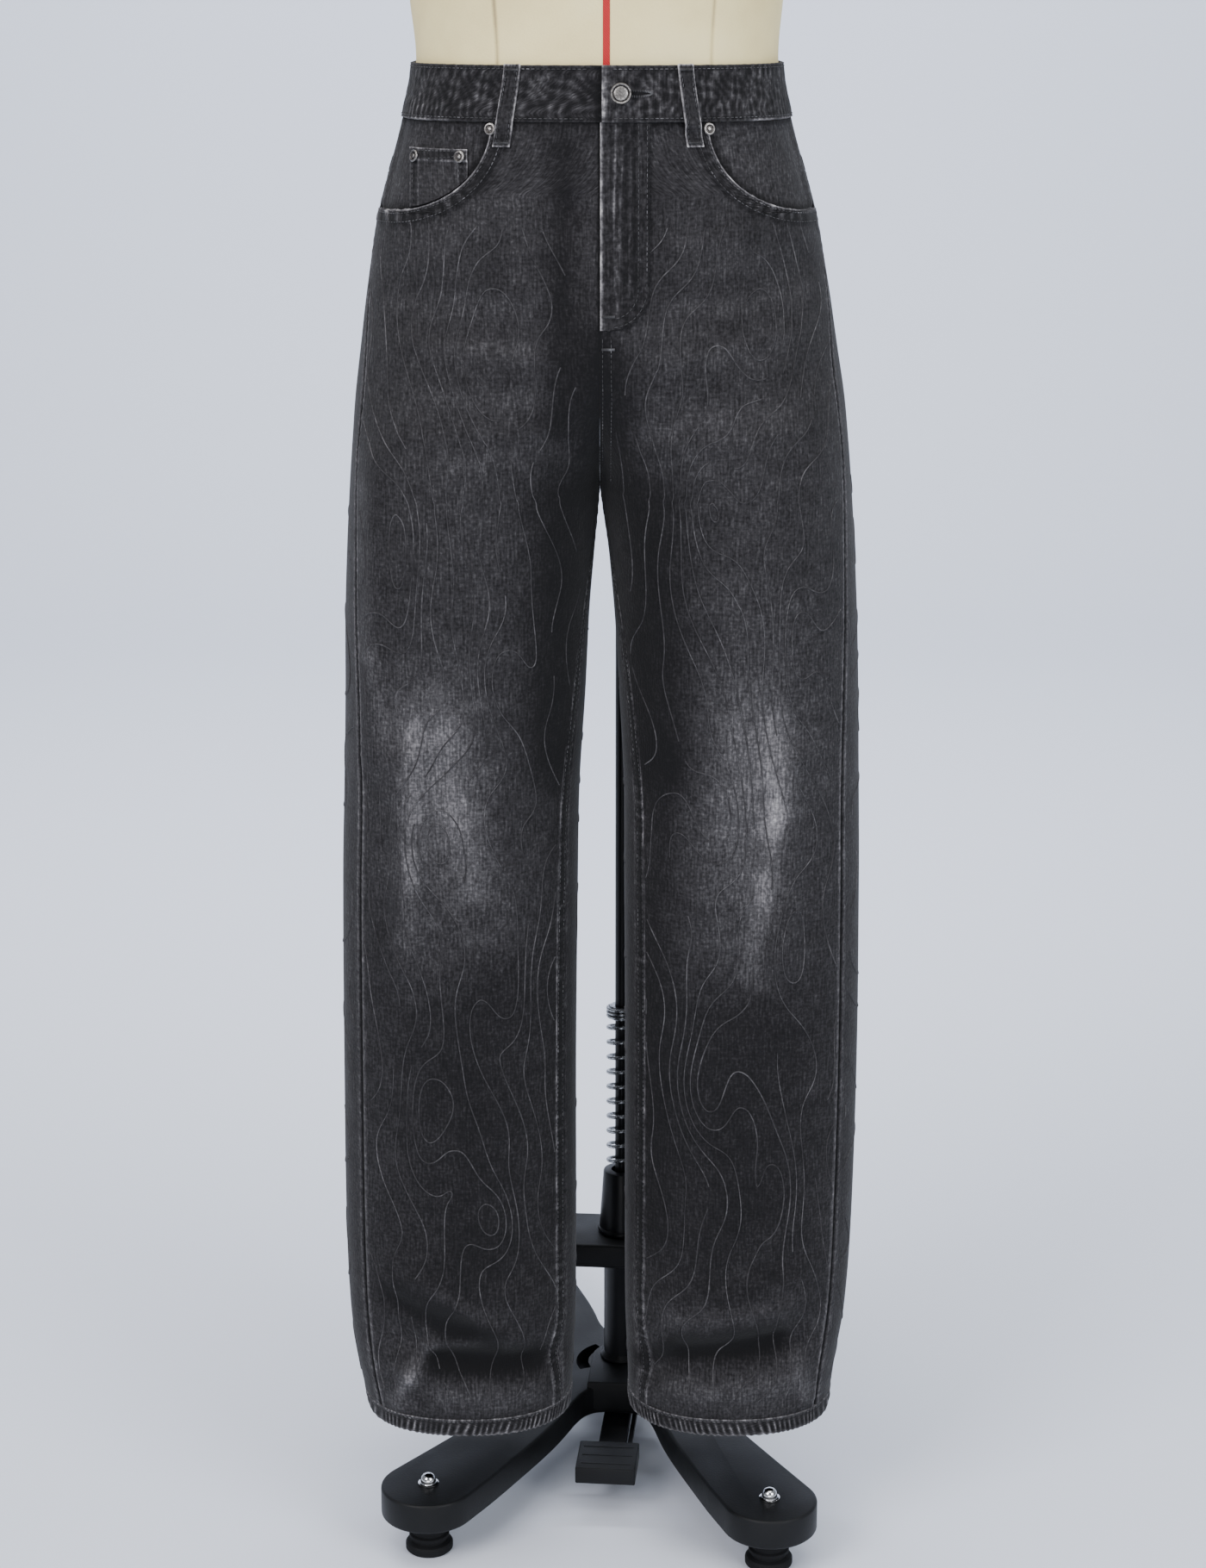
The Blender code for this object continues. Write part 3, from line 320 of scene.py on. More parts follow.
def soft_lines(lines, x, y, z):
    """Adds up soft lines at these points: folds, or patches of fade and painted shade."""
    total = np.zeros(np.shape(z))
    front = y < section(z, "middle")
    for face, x0, z0, x1, z1, half_width, height in lines:
        run_x, run_z = x1 - x0, z1 - z0
        part = ((x - x0) * run_x + (z - z0) * run_z) / (run_x**2 + run_z**2)
        part = np.clip(part, 0.0, 1.0)
        away = np.hypot(x - x0 - part * run_x, z - z0 - part * run_z)
        total += np.where(front == (face == "front"), height, 0.0) * hill(away, half_width)
    return total


def cloth(side, t, z, out=0.0):
    """Points of the garment's face with its folds, moved out by so much."""
    t, z = alike(t, z)
    point, away = bare(side, t, z), facing(side, t, z)
    centre = (z > CROTCH) & ((t < 0.001) | (t > 1.999))
    away[..., 0] = np.where(centre, 0.0, away[..., 0])
    away = unit(away)
    x, y = point[..., 0], point[..., 1]
    fade = np.minimum(1.0, np.abs(away[..., 1]) * 1.6)
    lift = out + fade * soft_lines(FOLDS + CREASES, x, y, z)
    point = point + away * lift[..., None]
    near = np.maximum(point[..., 0] * side, CENTRE_GAP)
    point[..., 0] = np.where(z >= CROTCH - 0.001, side * near, point[..., 0])
    return point


print("folds:", len(FOLDS), "creases:", len(CREASES))

# %% [markdown]
# ## Where the wash has faded the dye, with painted shade and highlights
# Black denim fades to grey where it rubs: down the thighs, on the knees, and in the whiskers
# that fan out from the crotch. Painted shade darkens the fly's side, the crotch, the inner
# thighs, the shins and the breaks, and painted highlights lie on the ridges of the breaks. Each
# patch is one soft line.

# %% Fades, painted shade and painted highlights
FADES_AND_PAINTED_SHADE = on_front(  # x, z, x, z in mm, half width in metres, how much paler
    # the wearer's right knee
    (-145, 725, -149, 600, 0.0085, 0.15), (-149, 620, -153, 545, 0.008, 0.09),
    (-118, 720, -116, 640, 0.013, 0.09), (-136, 740, -130, 670, 0.028, 0.09),
    (-104, 660, -101, 600, 0.014, 0.12), (-122, 720, -112, 560, 0.048, 0.12),
    # the left knee
    (136, 735, 138, 650, 0.011, 0.16), (138, 660, 129, 590, 0.0085, 0.14),
    (129, 600, 119, 520, 0.01, 0.13), (122, 745, 116, 670, 0.034, 0.09),
    (116, 710, 112, 550, 0.046, 0.15),
    # thighs
    (-110, 930, -112, 770, 0.055, 0.03), (120, 930, 124, 770, 0.05, 0.05),
    (-184, 910, -178, 780, 0.006, 0.1), (-178, 780, -168, 715, 0.006, 0.09),
    # whiskers
    (-60, 1128, -150, 1080, 0.014, 0.05), (-50, 1052, -150, 1050, 0.01, 0.08),
    (-46, 1020, -120, 1018, 0.008, 0.06), (-42, 985, -140, 975, 0.01, 0.06),
    (-40, 945, -120, 935, 0.01, 0.05), (56, 1090, 140, 1078, 0.012, 0.05),
    (50, 1048, 150, 1056, 0.009, 0.08), (46, 1010, 140, 1020, 0.009, 0.07),
    (42, 965, 140, 972, 0.011, 0.06),
    # painted shade beside the fly and in the crotch
    (-26, 1160, -30, 960, 0.013, -0.17), (-4, 1020, -4, 910, 0.016, -0.2),
    (10, 1000, 12, 910, 0.018, -0.18), (44, 1140, 44, 1050, 0.008, -0.06),
    # painted shade on the inner thighs
    (-28, 900, -32, 700, 0.024, -0.25), (-28, 700, -30, 300, 0.012, -0.1),
    (34, 890, 44, 700, 0.028, -0.25), (44, 700, 40, 300, 0.02, -0.13),
    # painted shade on the shins and on the right leg's outer edge
    (-100, 480, -100, 280, 0.075, -0.15), (110, 470, 110, 280, 0.075, -0.15),
    (-174, 560, -176, 500, 0.012, -0.05),
    # painted shade in the breaks
    (-134, 191, -56, 184, 0.0105, -0.55), (-124, 222, -94, 212, 0.011, -0.32),
    (-168, 246, -120, 222, 0.012, -0.26), (66, 197, 142, 206, 0.0105, -0.55),
    (34, 176, 66, 197, 0.008, -0.26),
    # painted highlights on their ridges
    (-168, 148, -157, 176, 0.007, 0.18), (-157, 176, -140, 201, 0.007, 0.2),
    (-140, 201, -100, 209, 0.007, 0.16), (-140, 256, -84, 222, 0.007, 0.1),
    (-130, 160, -60, 158, 0.012, 0.12), (60, 160, 150, 168, 0.014, 0.13),
    (162, 190, 172, 150, 0.006, 0.15), (60, 222, 150, 240, 0.01, 0.12),
    (110, 268, 140, 300, 0.012, 0.08),
) + on_back(
    # seat and calves
    (100, 1000, 100, 930, 0.06, 0.1), (120, 480, 120, 300, 0.05, 0.06),
    (30, 900, 155, 930, 0.012, 0.08), (70, 590, 150, 625, 0.012, -0.1),
)


def fades_and_painted_shade(point):
    """How much paler the dye is at these points, with the painted shade and highlights added."""
    x, y, z = point[..., 0], point[..., 1], point[..., 2]
    back_wrap = 0.07 * (y > section(z, "middle")) * (np.abs(x) > 0.15)
    return soft_lines(FADES_AND_PAINTED_SHADE, x, y, z) - back_wrap


print("fades:", len(FADES_AND_PAINTED_SHADE))

# %% [markdown]
# ## A piece of cloth
# Every cut piece starts as a flat bmesh grid, which is what cloth is before it is sewn. A
# function then lays its points on the garment. The UV map is in real metres along the weave,
# so one denim suits every piece. An attribute called wear_and_shade says where it is rubbed
# pale, and where painted shade and highlights make it dark or pale.
# Solidify gives the cloth its thickness, and a tiny Bevel rounds its cut edges.

# %% Into the scene
def into_mesh(tools, name):
    mesh = bpy.data.meshes.new(name)
    tools.to_mesh(mesh)
    tools.free()
    return mesh


def into_scene(name, data):
    made = bpy.data.objects.new(name, data)
    bpy.context.scene.collection.objects.link(made)
    return made


# %% The cloth maker
pieces, cuts = {}, {}
WEARER = ((-1, "right"), (1, "left"))  # the side along X, and the wearer's name for it


def uneven(count):
    """Spacing from 0 to 1 that is about twice as fine at both ends, where the seams are."""
    even = np.linspace(0.0, 1.0, count + 1)
    return even - 0.085 * np.sin(2 * math.pi * even)


def pick(values, part):
    """The value of each grid line, where part runs from 0 to 1 over the grid."""
    return values[np.round(part * (len(values) - 1)).astype(int)]


def sew(name, shape, node=None, thick=CLOTH, turn=False, weld=0.0, rim=0.0004, plumb=None):
    """shape(u, v) gives points and their tone, rubbed pale or darkened with painted shade, for arrays
    of places; u goes across and v goes up.
    node is the solid that the piece stands for. turn flips a piece that is laid inside out.
    plumb is a distance from the centre plane along which the warp hangs straight down."""
    across, up = shape.size
    tools = bmesh.new()
    bmesh.ops.create_grid(tools, x_segments=across, y_segments=up, size=0.5)
    mesh = into_mesh(tools, name)
    flat = np.empty(len(mesh.vertices) * 3)
    mesh.vertices.foreach_get("co", flat)
    flat = flat.reshape(up + 1, across + 1, 3)
    point, wear_and_shade = shape(flat[..., 0] + 0.5, flat[..., 1] + 0.5)
    steps_x = np.linalg.norm(np.diff(point, axis=1), axis=-1)
    steps_z = np.linalg.norm(np.diff(point, axis=0), axis=-1)
    cells = (steps_x[1:] + steps_x[:-1]) * (steps_z[:, 1:] + steps_z[:, :-1]) / 4
    cuts[name] = steps_x.sum(axis=1).max(), steps_z.sum(axis=0).max(), cells.sum()
    weave_x = np.pad(np.cumsum(steps_x, axis=1), ((0, 0), (1, 0))) + 0.731 * len(pieces)
    if plumb:
        out = np.abs(point[..., 0])
        way = 1 if out[-1, 0] < out[-1, -1] else -1
        hang = [np.interp(plumb, far[::way], run[::way]) for far, run in zip(out, weave_x)]
        weave_x = weave_x - np.array(hang)[:, None] + len(pieces)
    weave_z = point[..., 2]
    point = point + np.array((0.0, JEANS_Y, 0.0))
    mesh.vertices.foreach_set("co", point.reshape(-1))
    corners = np.empty(len(mesh.loops), int)
    mesh.loops.foreach_get("vertex_index", corners)
    weave = np.stack((weave_x.reshape(-1), weave_z.reshape(-1)), axis=-1)
    chart = mesh.uv_layers.new(name="weave")
    chart.data.foreach_set("uv", weave[corners].reshape(-1))
    mesh.attributes.new("wear_and_shade", "FLOAT", "POINT").data.foreach_set("value", wear_and_shade.reshape(-1))
    if turn:
        mesh.flip_normals()
    mesh.shade_smooth()
    piece = into_scene(name, mesh)
    if weld:
        close = piece.modifiers.new("closed_ring", "WELD")
        close.merge_threshold = weld
    layer = piece.modifiers.new("cloth_thickness", "SOLIDIFY")
    layer.thickness = thick
    layer.offset = -1.0
    if rim:
        edge = piece.modifiers.new("rounded_cut_edges", "BEVEL")
        edge.width = rim
        edge.segments = 2
        edge.limit_method = "ANGLE"
        edge.angle_limit = math.radians(50)
    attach(piece, "dressed_form")
    if node:
        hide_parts(node)
    pieces[name] = piece
    return piece


def shaped(across, up):
    """Marks a shape function with the number of grid cells it needs."""
    def mark(function):
        function.size = (across, up)
        return function
    return mark


# %% [markdown]
# ## Puckers beside the seams
# Two rows of stitches pull the cloth short, and the wash then rubs the tops of the little
# ribs pale. The valleys are painted darker than the plain cloth, as painted shade. This helper
# gives both: how far a rib stands out, and how pale it is. The waver stops the ribs from looking
# like a machine cut them.


# %% Ribs and worn edges
def waver(along, seed=0.0):
    return 0.5 * np.sin(along * 61.0 + seed) + 0.5 * np.sin(along * 143.0 + 2.1 * seed + 1.0)


def ribs(distance, along, width, pitch, height, slant=0.0, seed=0.0):
    """The ribs of a roped seam whose stitches lie within width of the edge."""
    near = hill(distance - width / 2, width * 0.6)
    phase = 2 * math.pi * (along + slant * distance) / pitch + 1.9 * waver(along, seed)
    wave = np.sin(phase) * (0.72 + 0.28 * waver(along * 0.7, seed + 4))
    # the crests are rubbed pale, and the valleys are painted darker than plain cloth, as painted
    # shade
    crest = np.maximum(wave, 0.0) ** 2 - 0.35 * np.maximum(-wave, 0.0)
    return height * wave * near, crest * near


def mottle(a, b, seed=0.0):
    """A soft, blocky unevenness of about 12 mm, from -1 to 1."""
    return (np.sin(a * 520.0 + 2.4 * np.sin(b * 190.0 + seed) + seed)
            * np.sin(b * 410.0 + 2.1 * np.sin(a * 230.0 + 2.0 * seed)))


def worn_edge(distance, along, reach=0.0011, seed=0.0):
    """Cut and folded edges rub through to pale yarn, unevenly."""
    return hill(distance, reach) * (0.75 + 0.25 * waver(along * 2.3, seed))


QUARTER_HIP = 0.25  # metres of cloth from one seam to the next
HEM_RIB, FELL_RIB, SIDE_RIB, YOKE_RIB, WAIST_RIB = 0.0076, 0.0086, 0.0085, 0.0088, 0.0092
# the ribs of an inseam are drawn coarser than real, which keeps each one three grid cells long
print("ribs:", 1000 * HEM_RIB, "mm at the hems,", 1000 * FELL_RIB, "mm at the inseams")

# %% [markdown]
# ## The leg panels
# Each leg is a front and a back. The front is cut away by the pocket's curved mouth, so its
# rows end on that curve. The inseam is felled: its edges are folded into each other, which
# leaves a raised band with two rows of stitches. The side seam is pressed open and plain.


# %% Heights of the rows, and the pocket's mouth
TWIN_ROWS = (0.0022, 0.0086)  # how far from its edge each of two stitch rows runs


def mouth_point(angle):
    x = MOUTH_X - MOUTH_WIDTH * np.cos(angle) ** MOUTH_ROUND
    return x, MOUTH_Z - MOUTH_DEPTH * np.sin(angle) ** MOUTH_ROUND


def mouth_x(z):
    """How far out the front panel reaches beside the pocket's mouth."""
    down = np.clip((MOUTH_Z - z) / MOUTH_DEPTH, 0.0, 1.0) ** (1 / MOUTH_ROUND)
    return MOUTH_X - MOUTH_WIDTH * np.sqrt(1.0 - down**2) ** MOUTH_ROUND


MOUTH_LINE = np.stack(mouth_point(np.radians(np.linspace(0.01, 89.99, 90))), axis=-1)
MOUTH_RUN = np.pad(np.cumsum(np.linalg.norm(np.diff(MOUTH_LINE, axis=0), axis=-1)), (1, 0))


def from_mouth(x, z):
    """Distance to the mouth's edge, and how far along the edge that is."""
    away = np.full(np.shape(z), 9.0)
    along = np.zeros(np.shape(z))
    for (line_x, line_z), run in zip(MOUTH_LINE, MOUTH_RUN):
        distance = np.hypot(x - line_x, z - line_z)
        along = np.where(distance < away, run, along)
        away = np.minimum(distance, away)
    return away, along


START = np.arcsin(((MOUTH_Z - PANEL_TOP) / MOUTH_DEPTH) ** (1 / MOUTH_ROUND))
mouth_rows = mouth_point(np.linspace(START, math.pi / 2, 34))[1]
leg_rows = np.linspace(mouth_rows[-1], PANEL_FOOT, 345)[1:]
FRONT_ROWS = np.concatenate((mouth_rows, leg_rows))[::-1]
BACK_ROWS = 270
FRONT_LANES, BACK_LANES = 64, 60
print("front rows:", len(FRONT_ROWS), "mouth:", round(1000 * MOUTH_RUN[-1]), "mm long")


# %% [markdown]
# The felled band, the ribs and the worn edges are all drawn by how far a point is from its
# seam. The same functions also carry the stitches later, so that those lie on the ribs.


# %% The face of a front panel and of a back panel
def felled(distance, along, seed=0.0):
    """A felled inseam or seat seam: a raised band, sunk where its two stitch rows run."""
    band = 0.0007 * (1.0 - smooth_step((distance - 0.0095) / 0.0025))
    rows = sum(hill(distance - row, 0.001) for row in TWIN_ROWS)
    rib, pale = ribs(distance, along, 0.0105, FELL_RIB, 0.0004, seed=seed)
    ridge = worn_edge(distance - 0.0102, along, 0.001, seed)
    ridge = ridge + 0.8 * worn_edge(distance, along, 0.0009, seed + 3)
    pale = 0.42 * pale + 0.66 * ridge - 0.11 * (distance < 0.01) - 0.08 * rows
    return band - 0.0003 * rows + rib, pale


def plain_seam(distance, along, seed=0.0):
    """A pressed side seam: the cloth rolls down into it, with small puckers."""
    rib, pale = ribs(distance, along, 0.006, SIDE_RIB, 0.00025, seed=seed)
    crest = hill(distance - 0.0035, 0.0016)
    lift = -0.0011 * hill(distance, 0.0016) + rib + 0.0004 * crest
    # the rolled crest is rubbed pale, and painted shade darkens the seam's groove
    return lift, 0.14 * pale + 0.27 * crest - 0.25 * hill(distance, 0.0013)


def laid(side, t, z, point, lift, pale):
    """Moves a panel's points out, keeps them on their side of the centre, and adds the fades and the
    painted shade and highlights to them.
    """
    point = point + facing(side, t, z) * lift[..., None]
    keep = np.maximum(point[..., 0] * side, CENTRE_GAP)
    point[..., 0] = np.where(z >= CROTCH - 0.001, side * keep, point[..., 0])
    return point, pale + fades_and_painted_shade(point)


def front_face(side, t, z, out=0.0):
    """Points and wear of a front, with its seams, its pocket's mouth and its hem."""
    t, z = alike(t, z)
    point = cloth(side, t, z, out)
    x = np.abs(point[..., 0])
    legs = z < CROTCH + 0.004
    inseam = np.where(legs, t * spread(side, 0.02, z), 1.0)
    lift, pale = felled(inseam, z, side)
    outseam = (1.0 - t) * spread(side, 0.98, z)
    more = plain_seam(outseam, z, side + 2.0)
    lift, pale = lift + more[0], pale + more[1]
    mouth, along = from_mouth(x, z)
    upper = (z > MOUTH_Z - MOUTH_DEPTH - 0.03) & (mouth < 0.04)
    mouth = np.where(upper, mouth, 1.0)
    strong = 0.4 + 0.9 * smooth_step(along / 0.1)
    rib, rib_pale = ribs(mouth, along, 0.01, 0.008, 0.0005, seed=side)
    band = 0.0006 * (1.0 - smooth_step((mouth - 0.0092) / 0.0016))
    lift = lift + band + rib * strong
    pale = pale + 0.44 * rib_pale * strong + 0.8 * worn_edge(mouth, along, 0.0013, side)
    # the band is darker, and a line of painted shade lies where the band steps down to the cloth
    pale = pale - 0.13 * (mouth < 0.0095) - 0.16 * hill(mouth - 0.0105, 0.0015)
    top = PANEL_TOP - z
    rib, rib_pale = ribs(top, x, 0.007, WAIST_RIB, 0.00035, seed=side + 5.0)
    # the panel's top, under the waistband's edge, is darkened with painted shade
    lift, pale = lift + rib, pale + 0.1 * rib_pale - 0.16 * hill(top, 0.004)
    centre = np.where(z > CROTCH, x, 1.0)
    pale = pale - 0.25 * hill(centre, 0.0012)
    foot = z - PANEL_FOOT
    rib, rib_pale = ribs(foot, x, 0.006, HEM_RIB, 0.0005, 0.5, side + 7.0)
    lift, pale = lift + rib, pale + 0.05 * rib_pale - 0.06 * hill(foot, 0.003)
    return laid(side, t, z, point, lift, pale)


def yoke_height(t):
    """The height of the seam between a back and its yoke."""
    return WAIST_TOP - BAND_HEIGHT - (YOKE_SIDE + (YOKE_CENTRE - YOKE_SIDE) * (t - 1.0))


def back_face(side, t, z, out=0.0):
    """Points and wear of a back, with its seams. The left one laps over the right at the seat."""
    t, z = alike(t, z)
    point = cloth(side, t, z, out)
    x = np.abs(point[..., 0])
    inner = (2.0 - t) * spread(side, 1.98, z)
    outseam = (t - 1.0) * spread(side, 1.02, z)
    lift, pale = plain_seam(outseam, z, side + 9.0)
    seat = np.where((z > CROTCH) & (side > 0), inner, 1.0)
    more = felled(seat, z, 2.0)
    lift, pale = lift + more[0], pale + more[1]
    more = plain_seam(np.where(z < CROTCH, inner, 1.0), z, side + 4.0)
    lift, pale = lift + more[0], pale + more[1]
    yoke = yoke_height(t) - z
    rib, rib_pale = ribs(yoke, x, 0.009, YOKE_RIB, 0.0003, seed=side + 6.0)
    lift, pale = lift + rib, pale + 0.14 * rib_pale - 0.12 * hill(yoke, 0.0012)
    foot = z - PANEL_FOOT
    rib, rib_pale = ribs(foot, x, 0.006, HEM_RIB, 0.0005, 0.5, side + 8.0)
    return laid(side, t, z, point, lift + rib, pale + 0.05 * rib_pale)


# %% Sew the leg panels
FRONT_EDGE_T, BACK_EDGE_T, YOKE_EDGE_T = 0.0008, 0.0006, 0.0008  # short of the seams, in t


def front_shape(side):
    @shaped(FRONT_LANES, len(FRONT_ROWS) - 1)
    def shape(u, v):
        z = pick(FRONT_ROWS, v)
        first = np.where(z < CROTCH, FRONT_EDGE_T, 0.0)
        last = np.where(z > MOUTH_Z - MOUTH_DEPTH, t_at(side, mouth_x(z), z), 1.0)
        last = np.minimum(last, 1.0 - FRONT_EDGE_T)
        lane = pick(uneven(FRONT_LANES), u)
        return front_face(side, first + (last - first) * lane, z)
    return shape


def back_shape(side):
    @shaped(BACK_LANES, BACK_ROWS)
    def shape(u, v):
        lane = pick(uneven(BACK_LANES), u)
        t = 1.0 + BACK_EDGE_T + (1.0 - BACK_EDGE_T) * lane
        top = yoke_height(t) - SEAM
        z = top + (PANEL_FOOT - top) * (1.0 - v)
        t = np.where(z < CROTCH, np.minimum(t, 2.0 - BACK_EDGE_T), t)
        return back_face(side, t, z)
    return shape


LEG_MIDDLE = 0.11  # from the centre plane
for side, wearer in WEARER:
    for face, shape in (("front_", front_shape(side)), ("back_", back_shape(side))):
        sew("panel_" + face + wearer, shape, face + wearer, turn=side < 0, plumb=LEG_MIDDLE)
print("leg panels:", [len(pieces[name].data.polygons) for name in pieces])

# %% [markdown]
# ## Yokes
# A yoke is the shaped strip between a back and the waistband. It takes the place of darts, so
# its top edge rises towards the centre back. Its lower edge is felled onto the back.


# %% Yokes
def yoke_shape(side):
    @shaped(96, 26)
    def shape(u, v):
        t = 1.0 + YOKE_EDGE_T + (1.0 - YOKE_EDGE_T) * u
        foot = yoke_height(t)
        z = foot + (PANEL_TOP - foot) * v
        point = cloth(side, t, z)
        low, high = z - foot, PANEL_TOP - z
        run = t * QUARTER_HIP
        rib, pale = ribs(low, run, 0.009, YOKE_RIB, 0.0003, seed=side)
        band = 0.0006 * (1.0 - smooth_step((low - 0.0095) / 0.002))
        rib_top, pale_top = ribs(high, run, 0.006, WAIST_RIB, 0.0003, seed=side + 3.0)
        rise = BACK_RISE * smooth_step(t - 1.0) * (z - foot) / (PANEL_TOP - foot)
        point = point + facing(side, t, z) * (band + rib + rib_top)[..., None]
        point[..., 2] += rise
        wear_and_shade = 0.14 * pale + 0.05 * pale_top + 0.3 * worn_edge(low, run, 0.0011, side) + 0.02
        return point, wear_and_shade
    return shape


print("yoke:", round(1000 * YOKE_SIDE), "mm at the side,", round(1000 * YOKE_CENTRE), "at the centre")

# %% [markdown]
# ## Pocket facings
# Inside each curved mouth shows a piece of denim that is sewn on the pocket bag. It lies a
# little deeper than the front and comes up to it at the side seam, where both are caught.


# %% Pocket facings
FACING_FOOT, FACING_START_T, FACING_END_T = 1.098, 0.29, 0.9985


def facing_shape(side):
    low, high = FACING_FOOT, PANEL_TOP

    @shaped(60, 44)
    def shape(u, v):
        t, z = FACING_START_T + (FACING_END_T - FACING_START_T) * u, low + (high - low) * v
        rise = smooth_step((t - 0.88) / 0.075) * smooth_step((z - 1.1135) / 0.01)
        point = cloth(side, t, z, -FACING_DEEP * (1.0 - rise))
        mouth, along = from_mouth(np.abs(point[..., 0]), z)
        rib, pale = ribs(high - z, point[..., 0], 0.007, WAIST_RIB, 0.0003, seed=side)
        point = point + facing(side, t, z) * rib[..., None]
        # painted shade along the mouth, where the front's edge lies over the facing
        wear_and_shade = 0.05 + 0.1 * pale + 0.06 * mottle(t * 0.2, z, side) - 0.26 * hill(mouth, 0.004)
        # a pale line, then a line of painted shade in the gap at the side seam; the top 2 mm get
        # painted shade under the waistband
        upper = smooth_step((z - 1.117) / 0.006)
        side_gap = 0.16 * hill(t - 0.952, 0.007) - 0.34 * hill(t - 0.968, 0.008)
        return point, wear_and_shade - 0.1 * (high - z < 0.002) + upper * side_gap
    return shape


print("facing:", round(1000 * (PANEL_TOP - FACING_FOOT)), "mm high,", 1000 * FACING_DEEP, "mm deep")

# %% [markdown]
# ## Coin pocket
# A small patch with a turned top, on the facing of the wearer's right. Its lower end runs
# under the front, so its shape ends just inside the curve of the mouth.


# %% Coin pocket
COIN_INNER, COIN_OUTER, COIN_TOP = 0.0985, 0.1435, 1.164


@shaped(44, 60)
def coin_shape(u, v):
    x = COIN_INNER + (COIN_OUTER - COIN_INNER) * u
    angle = np.arccos(np.clip((MOUTH_X - x) / MOUTH_WIDTH, 0.0, 1.0) ** (1 / MOUTH_ROUND))
    low = mouth_point(angle)[1] + 0.0018
    z = low + (COIN_TOP - low) * v
    t = t_at(-1, x, z)
    top, inner, outer = COIN_TOP - z, x - COIN_INNER, COIN_OUTER - x
    band = 0.0006 * (1.0 - smooth_step((top - 0.0085) / 0.0015))
    rib, pale = ribs(inner, z, 0.007, 0.0046, 0.0002, seed=1.0)
    rib2, pale2 = ribs(outer, z, 0.007, 0.0046, 0.0002, seed=2.0)
    rib3, pale3 = ribs(top, x, 0.009, 0.0048, 0.0002, seed=3.0)
    edges = worn_edge(top, x, 0.0013) + 0.8 * worn_edge(inner, z, 0.0011, 2.0)
    edges = edges + 0.8 * worn_edge(outer, z, 0.0011, 5.0)
    edges = edges + 0.6 * worn_edge(top - 0.0085, x, 0.0011, 6.0)
    folds = worn_edge(inner - 0.0068, z, 0.0009, 7.0) + worn_edge(outer - 0.0068, z, 0.0009, 8.0)
    edges = edges + 0.45 * folds
    point = cloth(-1, t, z, -FACING_DEEP + LIFT + LAYER)
    point = point + facing(-1, t, z) * (band + rib + rib2 + rib3)[..., None]
    border = (top < 0.0085) | (inner < 0.007) | (outer < 0.007)
    return point, 0.03 + 0.26 * (pale + pale2 + pale3) + 0.58 * edges - 0.12 * border


print("coin pocket:", round(1000 * (COIN_OUTER - COIN_INNER)), "mm wide")

# %% [markdown]
# ## Fly
# The fly is a second layer on the wearer's left front, stitched down in a J. Its free edge and
# the zip's teeth under it rub the cloth, which leaves broken pale streaks along it.


# %% Fly
FLY_WIDTH, FLY_BOTTOM, FLY_TURN, FLY_FOOT = 0.037, 1.034, 0.03, 0.009


def fly_edge(z):
    """The curved outline of the stitched down fly."""
    down = np.clip((FLY_BOTTOM + FLY_TURN - z) / FLY_TURN, 0.0, 1.0)
    return FLY_FOOT + (FLY_WIDTH - FLY_FOOT) * np.sqrt(1.0 - down**2)


FLY_STREAKS = (  # x, z, x, z, half width, how much paler
    (0.0118, 1.176, 0.0104, 1.12, 0.0011, 0.24), (0.0104, 1.128, 0.0112, 1.072, 0.001, 0.2),
    (0.0172, 1.17, 0.0158, 1.138, 0.0009, 0.18), (0.015, 1.126, 0.0146, 1.09, 0.001, 0.2),
    (0.0128, 1.09, 0.0132, 1.052, 0.0012, 0.14), (0.0226, 1.15, 0.0222, 1.104, 0.0009, 0.15),
    (0.0218, 1.096, 0.0214, 1.064, 0.0009, 0.12), (0.0288, 1.164, 0.0286, 1.092, 0.001, 0.08),
    (0.0062, 1.16, 0.006, 1.06, 0.001, 0.07), (0.0196, 1.176, 0.019, 1.04, 0.002, -0.1),
    (0.0256, 1.176, 0.0262, 1.06, 0.0016, -0.12),
)


@shaped(56, 120)
def fly_shape(u, v):
    z = FLY_BOTTOM + (PANEL_TOP - FLY_BOTTOM) * v
    x = 0.0004 + (fly_edge(z) - 0.0004) * u
    t = t_at(1, x, z)
    wear_and_shade = 0.07 * mottle(x, z, 2.0)
    for x0, z0, x1, z1, half_width, much in FLY_STREAKS:
        part = np.clip((z0 - z) / (z0 - z1), 0.0, 1.0)
        away = np.hypot(x - x0 - (x1 - x0) * part, 0.12 * (z - z0 - (z1 - z0) * part))
        broken = 0.75 + 0.25 * np.sin(z * 900.0 + 3.0 * np.sin(z * 310.0 + x0 * 900.0))
        wear_and_shade = wear_and_shade + 1.5 * much * broken * hill(away, half_width)
    outline = fly_edge(z) - x
    rib, pale = ribs(outline, z, 0.008, 0.006, 0.0002, seed=4.0)
    edge = worn_edge(x, z, 0.0024, 1.0)
    ripple = 0.0002 * np.sin(2 * math.pi * x / 0.0066 + 0.8 * waver(z, 2.0))
    point = cloth(1, t, z, LIFT + LAYER)
    point = point + facing(1, t, z) * (rib + ripple + 0.0003 * edge)[..., None]
    point[..., 0] = np.maximum(point[..., 0], SEAM / 2)
    # a line of painted shade along the fly's J edge, and its folded edge rubbed pale
    return point, wear_and_shade - 0.06 + 0.8 * edge + 0.06 * pale - 0.12 * hill(outline, 0.0014)


print("fly:", round(1000 * (PANEL_TOP - FLY_BOTTOM)), "mm long with", len(FLY_STREAKS), "streaks")

